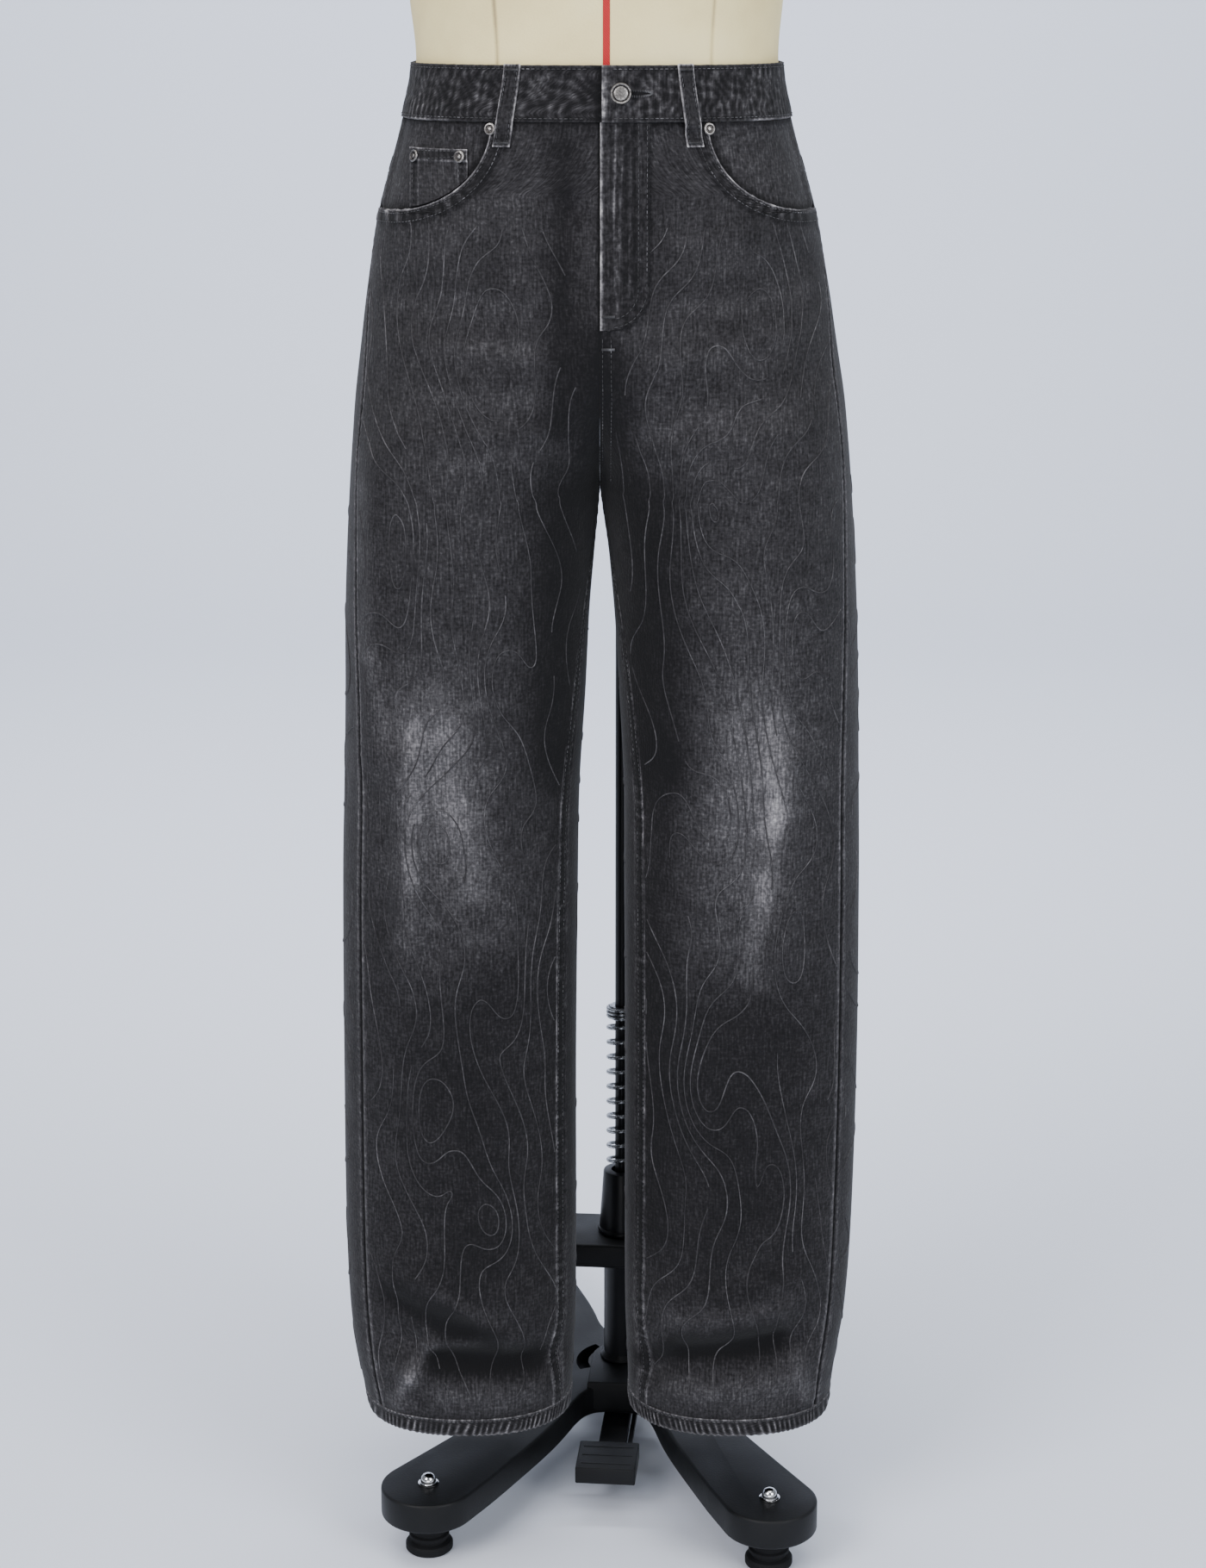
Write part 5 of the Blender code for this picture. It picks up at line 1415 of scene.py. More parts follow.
# %% Outline of the base
LEG_TOP, LEG_BOTTOM, PAD_RADIUS = 0.06, 0.034, 0.04
PADS = {"front_right": (-0.144, -0.242), "front_left": (0.144, -0.242),
        "rear_right": (-0.128, 0.2434), "rear_left": (0.128, 0.2434)}


def eased(points, steps=6):
    """A smooth line through these points."""
    kept = np.array([points[0], *points, points[-1]])
    line = []
    for a, b, c, d in zip(kept, kept[1:], kept[2:], kept[3:]):
        for k in np.arange(steps) / steps:
            bent = (2 * a - 5 * b + 4 * c - d) * k**2 + (3 * b - a - 3 * c + d) * k**3
            line.append(tuple(0.5 * (2 * b + (c - a) * k + bent)))
    return line + [tuple(points[-1])]


FRONT_EDGE = (
    (0.0925, -0.228), (0.08, -0.2), (0.0585, -0.15), (0.047, -0.12), (0.04, -0.098),
    (0.0345, -0.08), (0.028, -0.065), (0.018, -0.0555), (0.0, -0.052),
)
SIDE_EDGE = (
    (0.15, -0.178), (0.0757, -0.062), (0.057, -0.03), (0.051, 0.0), (0.055, 0.03),
    (0.0715, 0.062), (0.136, 0.177),
)
REAR_EDGE = (
    (0.0, 0.055), (0.01, 0.057), (0.02, 0.066), (0.027, 0.08), (0.0325, 0.098), (0.04, 0.12),
    (0.052, 0.15), (0.075, 0.205), (0.083, 0.232),
)
front, side_edge, rear = eased(FRONT_EDGE), eased(SIDE_EDGE), eased(REAR_EDGE)
front_pad = round_line(*PADS["front_left"], PAD_RADIUS, -154, 33, 26)
rear_pad = round_line(*PADS["rear_left"], PAD_RADIUS, -30, 153, 26)
half = front[::-1] + front_pad + side_edge + rear_pad + rear[::-1]
outline = half[:-1] + [(-x, y) for x, y in half[::-1]][:-1]
print("outline of the base:", len(outline), "points")

# %% Cast the base
SLOT_RADIUS, SLOT_INSIDE = 0.0415, 0.735
BOSS_RADIUS, WEB_X, WEB_HALF = 0.0265, 0.0153, 0.003
tools = bmesh.new()
slab(tools, outline, LEG_BOTTOM, LEG_TOP, 0.0024)
plate_piece = into_scene("plate", into_mesh(tools, "plate"))
tools = bmesh.new()
for first, last in ((-30, 50), (130, 210)):
    arc = round_line(0, 0, SLOT_RADIUS, first, last, 16)
    inside = [(x * SLOT_INSIDE, y * SLOT_INSIDE) for x, y in arc[::-1]]
    slab(tools, arc + inside, 0.02, 0.08, 0.0006, segments=1)
cutter_piece = into_scene("slots", into_mesh(tools, "slots"))
cut = plate_piece.modifiers.new("slots", "BOOLEAN")
cut.object, cut.operation, cut.solver = cutter_piece, "DIFFERENCE", "EXACT"
tools = bmesh.new()
tools.from_object(plate_piece, bpy.context.evaluated_depsgraph_get())
print("slots cut: the plate has", len(tools.faces), "faces")
for piece in (plate_piece, cutter_piece):
    bpy.data.objects.remove(piece)
bmesh.ops.transform(tools, matrix=STAND, verts=tools.verts)
boss = [(-BOSS_RADIUS, -0.057), (BOSS_RADIUS, -0.057)] + round_line(0, 0, BOSS_RADIUS, 0, 180, 20)
slab(tools, boss, 0.038, 0.066, 0.0016, STAND)
for x in (-WEB_X, WEB_X):
    web = oblong(x - WEB_HALF, -0.021, x + WEB_HALF, -0.003)
    slab(tools, web, 0.019, 0.042, 0.0008, STAND, 2)
solid_piece("base_casting", tools, casting, "stand", ["base"])

# %% Feet and cap nuts
FOOT = (  # radius, height
    (0, 0), (0.0185, 0), (0.02, 0.0015), (0.02, 0.006), (0.0188, 0.0078), (0.015, 0.009),
    (0.015, 0.011), (0.017, 0.0122), (0.017, 0.015), (0.015, 0.0162), (0.015, 0.019),
    (0.017, 0.0202), (0.017, 0.023), (0.015, 0.0242), (0.015, 0.0336), (0, 0.0337),
)
NUT = (
    (0, 0), (0.0084, 0), (0.0087, 0.0003), (0.0087, 0.0009), (0.0082, 0.0012), (0.0067, 0.0013),
    (0.0066, 0.0032), (0.0064, 0.0046), (0.0056, 0.0064), (0.0042, 0.008), (0.0022, 0.0088),
    (0, 0.009),
)
for name, (pad_x, pad_y) in PADS.items():
    under = STAND @ Matrix.Translation((pad_x, pad_y, 0))
    tools = bmesh.new()
    turned(tools, FOOT, 40, under)
    solid_piece("ribbed_foot_" + name, tools, rubber, "stand", ["foot_" + name])
    tools = bmesh.new()
    turned(tools, NUT, 40, under @ Matrix.Translation((0, 0, LEG_TOP + SEAM)))
    solid_piece("domed_nut_" + name, tools, chromed, "stand", ["cap_nut_" + name])
print("base: casting, 4 feet, 4 domed nuts")

# %% [markdown]
# ## The column
# A lower post, a plate with one round end, and a tapered guide tube stand on the hub. The
# pole slides in them and a spring takes its weight. The spring's ends are wound closed.

# %% Post, plate and guide tube
tools = bmesh.new()
turned(tools, (
    (0.0094, 0.0663), (0.019, 0.0663), (0.0195, 0.067), (0.0193, 0.069), (0.016, 0.072),
    (0.016, 0.1655), (0.0166, 0.1668), (0.017, 0.1677), (0.0094, 0.1677), (0.0094, 0.0663),
), 56, STAND)
solid_piece("lower_column_post", tools, painted_steel, "stand", ["lower_post"])

tools = bmesh.new()
outline = round_line(-0.105, 0, 0.036, 90, 270, 22) + round_line(0, 0, 0.036, -90, 90, 22)
slab(tools, outline, 0.168, 0.19, 0.0022, STAND)
solid_piece("rounded_cross_plate", tools, casting, "stand", ["cross_plate"])

tools = bmesh.new()
turned(tools, (
    (0.0094, 0.1903), (0.0205, 0.1903), (0.0213, 0.1912), (0.0216, 0.193), (0.0211, 0.1948),
    (0.0202, 0.1958), (0.0166, 0.2482), (0.016, 0.2496), (0.0148, 0.25), (0.0094, 0.25),
    (0.0094, 0.1903),
), 64, STAND)
solid_piece("tapered_guide_tube", tools, painted_steel, "stand", ["column_tube"])
print("column: post, cross plate and guide tube")

# %% [markdown]
# ## Spring and pole
# Round wire is wound by spinning a small circle while it is lifted, and its ends are capped.
# The collar is a ring with closed end coils round it. The pole is painted steel, and its
# bracket is a bar with two round headed screws.

# %% Spring and pole
TURNS, WIRE, COIL, SPRING_LOW, SPRING_HIGH = 10, 0.0016, 0.0126, 0.2519, 0.3926


def wound(tools, turns, low, high, start=0.0):
    """Winds round wire upwards: a small circle is spun and lifted at every step."""
    upright = Matrix.Rotation(math.radians(90), 4, "X")
    place = Matrix.Rotation(start, 4, "Z") @ Matrix.Translation((COIL, 0, low)) @ upright
    ring = bmesh.ops.create_circle(
        tools, segments=10, radius=WIRE, cap_ends=False, matrix=place,
    )["verts"]
    edges = list({edge for vert in ring for edge in vert.link_edges})
    first = list(edges)
    steps = int(turns * 28)
    last = bmesh.ops.spin(
        tools, geom=ring + edges, cent=(0, 0, 0), axis=(0, 0, 1), angle=turns * 2 * math.pi,
        steps=steps, dvec=(0, 0, (high - low) / steps), use_duplicate=False,
    )["geom_last"]
    ends = first + [item for item in last if isinstance(item, bmesh.types.BMEdge)]
    bmesh.ops.holes_fill(tools, edges=ends, sides=0)


tools = bmesh.new()
wound(tools, TURNS, SPRING_LOW, SPRING_HIGH)
bmesh.ops.transform(tools, matrix=STAND, verts=tools.verts)
spring = solid_piece("column_spring", tools, spring_wire, None, ["spring"])
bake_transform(spring)

tools = bmesh.new()
wound(tools, 2.6, 0.3962, 0.4048, 1.2)
turned(tools, (
    (0.0064, 0.3945), (0.0105, 0.3947), (0.0108, 0.3952), (0.0108, 0.4058), (0.0104, 0.4065),
    (0.0064, 0.4065), (0.0064, 0.3945),
), 40)
bmesh.ops.transform(tools, matrix=Matrix.Translation((POST_X, 0, 0)), verts=tools.verts)
solid_piece("closed_end_coils", tools, spring_wire, "dressed_form",
            ["spring_collar"])

tools = bmesh.new()
turned(tools, (
    (0, 0.075), (0.0078, 0.075), (0.0086, 0.0754), (0.009, 0.0762), (0.009, 0.23), (0.0062, 0.233),
    (0.0062, 1.23), (0.009, 1.233), (0.009, 1.2735), (0.0086, 1.2744), (0.008, 1.2747), (0, 1.2747),
), 48, Matrix.Translation((POST_X, 0, 0)))
solid_piece("sliding_pole", tools, painted_steel, "dressed_form", ["pole"])

low, high = (Vector(corner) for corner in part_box("pole_bracket"))
tools = bmesh.new()
slab(tools, oblong(low.x, low.y, high.x, high.y), low.z, high.z, 0.0022)
for z in (low.z + 0.0085, high.z - 0.0085):
    head = Matrix.Translation((POST_X, high.y, z)) @ Matrix.Rotation(math.radians(-90), 4, "X")
    turned(tools, (
        (0, 0), (0.0052, 0), (0.0052, 0.0022), (0.0044, 0.003), (0.0026, 0.003),
        (0.0026, 0.0012), (0, 0.0012),
    ), 20, head)
solid_piece("pole_bracket_bar", tools, painted_steel, "dressed_form", ["pole_bracket"])
print("spring:", TURNS, "turns of", 2000 * WIRE, "mm wire")

# %% [markdown]
# ## The foot pedal
# A flat arm hangs on a pin under the hub and carries a thick tread. Pressing the tread lets
# the pole slide. The arm and tread are plain bars with small rounded edges.

# %% Foot pedal
PEDAL_BARS = (  # corner, opposite corner, bottom, top, edge, segments
    (-0.012, -0.151, 0.012, -0.004, 0.022, 0.031, 0.001, 2),  # arm
    (-0.026, -0.176, 0.026, -0.126, 0.0295, 0.0445, 0.0012, 3),  # tread
    (0.0135, -0.13, 0.0175, -0.03, 0.0235, 0.029, 0.0006, 2),  # release rod
)
RIB_YS, RIB_HALF = (-0.166, -0.151, -0.136), 0.0012
PIN = ((0, 0), (0.0027, 0), (0.003, 0.0004), (0.003, 0.0352), (0.0027, 0.0356), (0, 0.0356))
tools = bmesh.new()
for x0, y0, x1, y1, low_z, high_z, soft, segments in PEDAL_BARS:
    slab(tools, oblong(x0, y0, x1, y1), low_z, high_z, soft, STAND, segments)
for y in RIB_YS:
    rib = oblong(-0.022, y - RIB_HALF, 0.022, y + RIB_HALF)
    slab(tools, rib, 0.044, 0.0449, 0.0003, STAND, 1)
sideways = Matrix.Rotation(math.radians(90), 4, "Y")
turned(tools, PIN, 20, STAND @ Matrix.Translation((-0.0178, -0.012, 0.0265)) @ sideways)
solid_piece("foot_pedal", tools, casting, "pedal", ["pedal"])
print("pedal:", len(PEDAL_BARS), "bars,", len(RIB_YS), "ribs on the tread and a pin")

# %% [markdown]
# ## Button and rivets
# A jeans button is a pressed shell on a shank: a raised ring round a sunken middle. Rivets are
# small domes with a dimple. All are plated brass with an antique finish, darker in the hollows.

# %% Button and rivets
def on_cloth(point, away):
    """A frame whose Z axis points out of the cloth."""
    place = Vector(point) + Vector((0, JEANS_Y, 0))
    return Matrix.Translation(place) @ Vector(away).to_track_quat("Z", "Y").to_matrix().to_4x4()


def metal_trim(name, profile, hollow_rings, frame, node):
    """Turns a piece of trim. The faces whose radius lies in hollow_rings get the dark finish."""
    tools = bmesh.new()
    turned(tools, profile, 48)
    for face in tools.faces:
        middle = face.calc_center_median()
        radius = math.hypot(middle.x, middle.y)
        inside = any(low < radius < high for low, high in hollow_rings)
        face.material_index = int(inside and middle.z > 0.0005)
    bmesh.ops.transform(tools, matrix=frame, verts=tools.verts)
    solid_piece(name, tools, (antique, hollow), "dressed_form", [node])


BUTTON = (  # radius, height
    (0, 0), (0.0034, 0), (0.0034, 0.0012), (0.0066, 0.0013), (0.0074, 0.0018), (0.0078, 0.0026),
    (0.0077, 0.0034), (0.0073, 0.0039), (0.0067, 0.004), (0.0063, 0.0037), (0.006, 0.0028),
    (0.0055, 0.0025), (0.0051, 0.0029), (0.0044, 0.0032), (0.003, 0.0033), (0.0015, 0.0034),
    (0, 0.0034),
)
RIVET = (
    (0, 0), (0.0042, 0), (0.0045, 0.0003), (0.0044, 0.0008), (0.0039, 0.0013), (0.0032, 0.0014),
    (0.0028, 0.0011), (0.0024, 0.0006), (0.0018, 0.0006), (0.0014, 0.0011), (0.0009, 0.0015),
    (0, 0.0016),
)
COIN_BULGE = 0.0009  # the coin pocket's corners are four layers thick, which lifts its rivets
coin_out = -FACING_DEEP + LIFT + LAYER + COIN_BULGE
RIVETS = (  # name, side, x, z, how far out
    ("rivet_mouth_right", -1, 0.0805, 1.179, 0.0), ("rivet_mouth_left", 1, 0.0805, 1.179, 0.0),
    ("rivet_coin_inner", -1, 0.1035, 1.1585, coin_out),
    ("rivet_coin_outer", -1, 0.1385, 1.1575, coin_out),
)
t = t_at(1, BUTTON_X, BUTTON_Z)
away = facing(1, t, BUTTON_Z)
seat = bare(1, t, BUTTON_Z) + away * (BAND_PROUD + LAP_RISE + SEAM)
metal_trim("waist_button", BUTTON, ((0.0051, 0.0062),), on_cloth(seat, away), "button")
for name, side, x, z, out in RIVETS:
    t = t_at(side, x, z)
    away = facing(side, t, z)
    seat = cloth(side, t, z, out + SEAM + 0.0005)
    metal_trim(name + "_dome", RIVET, ((0.0013, 0.0031),), on_cloth(seat, away), name)
print("button and", len(RIVETS), "rivets")

# %% [markdown]
# ## Raised crease lines
# The wash leaves long raised lines in the cloth, rubbed pale on top. They are drawn as level
# lines, as on a map of a hill: a grid gets a height for every place, is cut by level planes,
# and only the cuts are kept. The heights are made up from long waves and a few knots, like
# the grain of a board. The lines are then laid on the cloth and given a round section.

# %% Level lines
def level_lines(heights, lay, size, step, seed, thin):
    """Cuts a grid at every whole height, and lays the cuts on the cloth."""
    tools = bmesh.new()
    bmesh.ops.create_grid(tools, x_segments=size[0], y_segments=size[1], size=0.5)
    flat = np.array([vert.co[:2] for vert in tools.verts]) + 0.5
    for vert, height in zip(tools.verts, heights(flat[:, 0], flat[:, 1])):
        vert.co.z = height
    tall = [vert.co.z for vert in tools.verts]
    for level in np.arange(math.ceil(min(tall) / step) + 0.37, max(tall) / step) * step:
        cut = bmesh.ops.bisect_plane(
            tools, geom=tools.verts[:] + tools.edges[:] + tools.faces[:], dist=1e-7,
            plane_co=(0, 0, level), plane_no=(0, 0, 1),
        )["geom_cut"]
        for item in cut:
            if isinstance(item, bmesh.types.BMEdge):
                item.seam = True
    gone = []
    for edge in tools.edges:
        middle = (edge.verts[0].co + edge.verts[1].co) / 2
        patchy = noise.noise(Vector((middle.x * 6.0 + seed, middle.y * 13.0, middle.z * 0.9)))
        if not edge.seam or patchy < thin:
            gone.append(edge)
    bmesh.ops.delete(tools, geom=gone, context="EDGES")
    loose = [vert for vert in tools.verts if not vert.link_edges]
    bmesh.ops.delete(tools, geom=loose, context="VERTS")
    for _ in range(3):
        bmesh.ops.smooth_vert(
            tools, verts=tools.verts, factor=0.5, use_axis_x=True, use_axis_y=True, use_axis_z=False,
        )
    bmesh.ops.remove_doubles(tools, verts=tools.verts, dist=0.0018)
    place = np.array([vert.co[:2] for vert in tools.verts]) + 0.5
    for vert, point in zip(tools.verts, lay(np.clip(place[:, 0], 0, 1), np.clip(place[:, 1], 0, 1))):
        vert.co = point + (0.0, JEANS_Y, 0.0)
    return tools


def round_section(name, tools, radius, finish):
    """Turns edges into thin round ridges, by way of a curve with a bevel."""
    piece = into_scene(name, into_mesh(tools, name))
    bpy.ops.object.select_all(action="DESELECT")
    bpy.context.view_layer.objects.active = piece
    piece.select_set(True)
    bpy.ops.object.convert(target="CURVE")
    piece.data.bevel_depth = radius
    piece.data.bevel_resolution = 0
    piece.data.use_fill_caps = True
    bpy.ops.object.convert(target="MESH")
    piece.data.name = name
    piece.data.shade_smooth()
    piece.data.materials.append(finish)
    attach(piece, "dressed_form")
    return piece


def waves(x, z, seed):
    """Long uneven waves along the leg, in steps of the line spacing."""
    return (
        0.9 * np.sin(z * 7.5 + seed) + 0.7 * np.sin(z * 15.0 + x * 22.0 + 2.3 * seed)
        + 0.45 * np.sin(z * 31.0 - x * 35.0 + 1.7 * seed)
        + 0.25 * np.sin(z * 62.0 + x * 80.0 + 0.7 * seed)
    )


KNOTS = {  # x, z, half width, half height, how strong: made up, like knots in a board
    ("front", -1): (
        (-0.088, 1.01, 0.022, 0.05, 3.4), (-0.15, 0.85, 0.014, 0.06, -2.6),
        (-0.076, 0.77, 0.02, 0.045, 3.0), (-0.13, 0.64, 0.02, 0.04, 3.2),
        (-0.07, 0.52, 0.018, 0.06, -3.0), (-0.14, 0.4, 0.018, 0.05, 3.0),
        (-0.085, 0.31, 0.016, 0.03, -2.4),
    ),
    ("front", 1): (
        (0.125, 1.04, 0.02, 0.045, -3.0), (0.08, 0.9, 0.02, 0.05, 3.2),
        (0.15, 0.79, 0.016, 0.05, 2.8), (0.095, 0.66, 0.024, 0.05, -3.4),
        (0.15, 0.56, 0.014, 0.045, 2.6), (0.085, 0.43, 0.02, 0.055, 3.2),
        (0.145, 0.33, 0.014, 0.04, -2.6),
    ),
    ("back", -1): (
        (-0.11, 0.8, 0.024, 0.055, 3.2), (-0.07, 0.62, 0.02, 0.05, -3.0),
        (-0.14, 0.45, 0.02, 0.055, 3.0), (-0.08, 0.33, 0.018, 0.04, 2.6),
    ),
    ("back", 1): (
        (0.09, 0.82, 0.024, 0.055, -3.2), (0.14, 0.65, 0.018, 0.05, 3.0),
        (0.08, 0.5, 0.02, 0.055, 3.0), (0.14, 0.34, 0.016, 0.045, -2.6),
    ),
}
LINE_GAP = 0.021  # metres between lines where the cloth is calm
LINE_TOP = {"front": 1.112, "back": 0.915}


def leg_heights(face, side, low, high, first, last):
    def heights(u, v):
        z = low + (high - low) * v
        t = first + (last - first) * u
        x = bare(side, t, z)[..., 0]
        total = 1.25 * x / LINE_GAP + waves(x, z, 2.0 * side + (face == "back"))
        for knot_x, knot_z, wide, tall, strong in KNOTS[(face, side)]:
            total = total + strong * np.exp(-((x - knot_x) / wide) ** 2 - ((z - knot_z) / tall) ** 2)
        return total
    return heights


def leg_lay(face, side, low, high, first, last):
    surface = front_face if face == "front" else back_face

    def lay(u, v):
        return surface(side, first + (last - first) * u, low + (high - low) * v, 0.00005)[0]
    return lay


print("knots:", sum(len(knots) for knots in KNOTS.values()), "and a line each", LINE_GAP, "m")

# %% Finish of the raised lines
# real: the same denim, pinched into a ridge that the wash rubs. It is paler and a little patchy
PATCH, SLUB = 38.0, 2.2  # mm
raised, tree, shader = finish_named("denim_ridge_rubbed_pale", Roughness=0.9, Specular_IOR_Level=0.2)
place = add(tree, "TexCoord", out="Object")
long_noise = add(tree, "TexNoise", {0: place, "Scale": MM / PATCH, "Detail": 4.0, "Roughness": 0.65})
short_noise = add(tree, "TexNoise", {0: place, "Scale": MM / SLUB, "Detail": 2.0})
value = add(tree, "Math", {0: short_noise, 1: 0.5, 2: long_noise}, operation="MULTIPLY_ADD")
colour = add(tree, "ValToRGB", {0: value}, ((0.55, "#252426"), (0.77, "#39383a"), (1.0, "#5c5b5d")))
wire_up(tree, shader, colour, ((short_noise, 0.0002),))
print("ridges: rubbed in patches of about", PATCH, "mm")

# %% Lay the lines on the legs
lines = {}
for side, wearer in WEARER:
    for face, first, last in (("front", 0.075, 0.972), ("back", 1.03, 1.93)):
        span = (0.155, LINE_TOP[face], first, last)
        tools = level_lines(
            leg_heights(face, side, *span), leg_lay(face, side, *span), size=(56, 250), step=1.0,
            seed=3.0 * side + len(lines), thin=-0.42,
        )
        name = "raised_lines_" + face + "_" + wearer
        lines[face, side] = round_section(name, tools, 0.00055, raised)
        print(name, len(lines[face, side].data.polygons), "faces")

# %% [markdown]
# ## Stitches
# Denim is sewn with thick thread, here in the colour of the cloth. Each stitch is one small
# ellipsoid, 2.9 mm long, and a row is a walk along its seam in even steps. The real thread is
# 0.4 mm thick and is drawn at 0.6 mm, so that it shows. A stitch has only 24 faces.

# %% Rows of stitches
THREAD, STITCH, PITCH = 0.00032, 0.0029, 0.0038


def stitch(tools, line, long=STITCH, pitch=PITCH, thread=THREAD, turn=None):
    """Walks along a line of points. turn is a fixed direction for bar tacks, across the row.
    Each thirty stitches are made apart and then joined, because an operator slows as a mesh grows."""
    line = np.asarray(line, float) + (0.0, JEANS_Y, 0.0)
    run = np.pad(np.cumsum(np.linalg.norm(np.diff(line, axis=0), axis=1)), (1, 0))
    walk = np.arange(pitch / 2, run[-1], pitch)
    for first in range(0, len(walk), 30):
        few = bmesh.new()
        for at in walk[first:first + 30]:
            here, ahead = (
                np.array([np.interp(at + more, run, line[:, k]) for k in range(3)])
                for more in (0, 0.0004)
            )
            heading = Vector(ahead - here) if turn is None else Vector(turn)
            aimed = heading.to_track_quat("Z", "Y").to_matrix().to_4x4()
            frame = Matrix.Translation(Vector(here)) @ aimed
            frame = frame @ Matrix.Diagonal((thread, thread, long / 2, 1.0))
            bmesh.ops.create_uvsphere(few, u_segments=6, v_segments=4, radius=1.0, matrix=frame)
        joined = into_mesh(few, "few_stitches")
        tools.from_mesh(joined)
        bpy.data.meshes.remove(joined)


def offset_line(line, distance):
    """Moves a flat line sideways, to its left as it is walked."""
    ahead = np.gradient(np.asarray(line, float), axis=0)
    sideways = np.stack((-ahead[:, 1], ahead[:, 0]), axis=-1)
    return line + distance * sideways / np.linalg.norm(sideways, axis=1, keepdims=True)


def sewn(name, tools):
    """Puts finished rows in the scene. They ride with the cloth."""
    mesh = into_mesh(tools, name)
    mesh.shade_smooth()
    mesh.materials.append(thread_finish)
    piece = into_scene(name, mesh)
    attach(piece, "dressed_form")
    return piece


# %% Thread
# real: waxed cotton core thread, dyed black. It is rubbed grey in places, and its twist only
# shows as a slight roughness
thread_finish, tree, shader = finish_named(
    "waxed_cotton_thread_black", Roughness=0.75, Sheen_Weight=0.1,
)
place = add(tree, "TexCoord", out="Object")
rub = add(tree, "TexNoise", {0: place, "Scale": MM / 9.0, "Detail": 3.0})
colour = add(tree, "ValToRGB", {0: rub}, ((0.4, "#1b1b1d"), (0.55, "#38383b"), (0.72, "#6d6d70")))
twist = add(tree, "TexNoise", {0: place, "Scale": MM / 0.6, "Detail": 1.0})
wire_up(tree, shader, colour, ((twist, 0.0001),))
print("thread:", 2000 * THREAD, "mm thick,", 1000 * PITCH, "mm from stitch to stitch")

# %% [markdown]
# ## Rows on the legs and back pockets
# Seams that take strain have two rows: the inseams, the seat, the yokes, the pocket mouths and
# the left front's crotch seam. A back pocket's rows follow its own grid, inside its edge.


# %% Rows on fronts, backs and back pockets
ON_TOP = 0.0001  # how far a row's line lies over the cloth


def front_rows(side):
    tools = bmesh.new()
    z = np.linspace(CROTCH - 0.006, PANEL_FOOT + 0.002, 260)
    for distance in TWIN_ROWS:
        t = distance / spread(side, 0.02, z)
        stitch(tools, front_face(side, t, z, ON_TOP)[0])
    for distance in TWIN_ROWS:
        x, z = offset_line(MOUTH_LINE, -distance).T
        inside = z < PANEL_TOP - 0.002
        x, z = x[inside], z[inside]
        t = np.minimum(t_at(side, np.abs(x), z), 0.996)
        stitch(tools, front_face(side, t, z, ON_TOP)[0])
    if side > 0:
        z = np.linspace(FLY_BOTTOM - 0.006, CROTCH + 0.006, 50)
        for distance in TWIN_ROWS:
            stitch(tools, front_face(side, t_at(side, distance, z), z, ON_TOP)[0])
    return tools


def back_rows(side):
    tools = bmesh.new()
    for distance in TWIN_ROWS:
        t = np.linspace(1.01, 1.99, 120)
        stitch(tools, back_face(side, t, yoke_height(t) - distance, ON_TOP)[0])
    if side > 0:
        z = np.linspace(1.07, CROTCH + 0.008, 60)
        for distance in TWIN_ROWS:
            t = 2.0 - distance / spread(side, 1.98, z)
            stitch(tools, back_face(side, t, z, ON_TOP)[0])
    return tools


def pocket_rows(side):
    """Two rows down one side, along the foot and up the other, and two under the top edge."""
    tools = bmesh.new()
    shape = back_pocket_shape(side)
    for inset in (0.03, 0.11):
        walk = np.linspace(0, 1, 60)
        down = np.stack((0 * walk + inset, 1 - walk * (1 - inset)), -1)
        along = np.stack((inset + (1 - 2 * inset) * walk, 0 * walk + inset), -1)
        up = np.stack((0 * walk + 1 - inset, inset + walk * (1 - inset)), -1)
        outline = np.concatenate((down, along, up))
        stitch(tools, shape(outline[:, 0], outline[:, 1])[0])
    for down in (0.02, 0.165):
        walk = np.linspace(0.03, 0.97, 60)
        stitch(tools, shape(walk, 0 * walk + 1 - down)[0])
    return tools


stitching = {}
for side, wearer in WEARER:
    for place, rows in (("front", front_rows), ("back", back_rows), ("pocket", pocket_rows)):
        stitching[place, side] = sewn("stitches_" + place + "_" + wearer, rows(side))
        print(place, wearer, len(stitching[place, side].data.polygons) // 24, "stitches")

# %% [markdown]
# ## Rows on the fly and coin pocket
# The fly has two rows in the same J as its outline, and two bar tacks, which are short dense
# bars that stop the seam from tearing. The coin pocket has rows along three of its edges.

# %% Rows on the fly and coin pocket
BAR_TACK_PITCH, BAR_TACK_TURN = 0.0007, (0.1, 0, 1)
tools = bmesh.new()
for distance in (0.0022, 0.0085):
    bend = np.radians(np.linspace(0, 84, 30))
    x = np.concatenate((
        np.full(40, FLY_WIDTH - distance),
        FLY_FOOT + (FLY_WIDTH - FLY_FOOT - distance) * np.cos(bend),
    ))
    z = np.concatenate((
        np.linspace(PANEL_TOP - 0.002, FLY_BOTTOM + FLY_TURN, 40),
        FLY_BOTTOM + FLY_TURN - (FLY_TURN - distance) * np.sin(bend),
    ))
    stitch(tools, cloth(1, t_at(1, x, z), z, LIFT + LAYER + 0.0003))
for z in (FLY_BOTTOM + 0.01, FLY_BOTTOM - 0.014):
    x = np.linspace(0.0015, 0.0115, 20)
    out = LIFT + LAYER + 0.0004 if z > FLY_BOTTOM else 0.001
    row = cloth(1, t_at(1, x, z), z + 0 * x, out)
    stitch(tools, row, 0.0022, BAR_TACK_PITCH, turn=BAR_TACK_TURN)
stitching["fly"] = sewn("stitches_fly", tools)

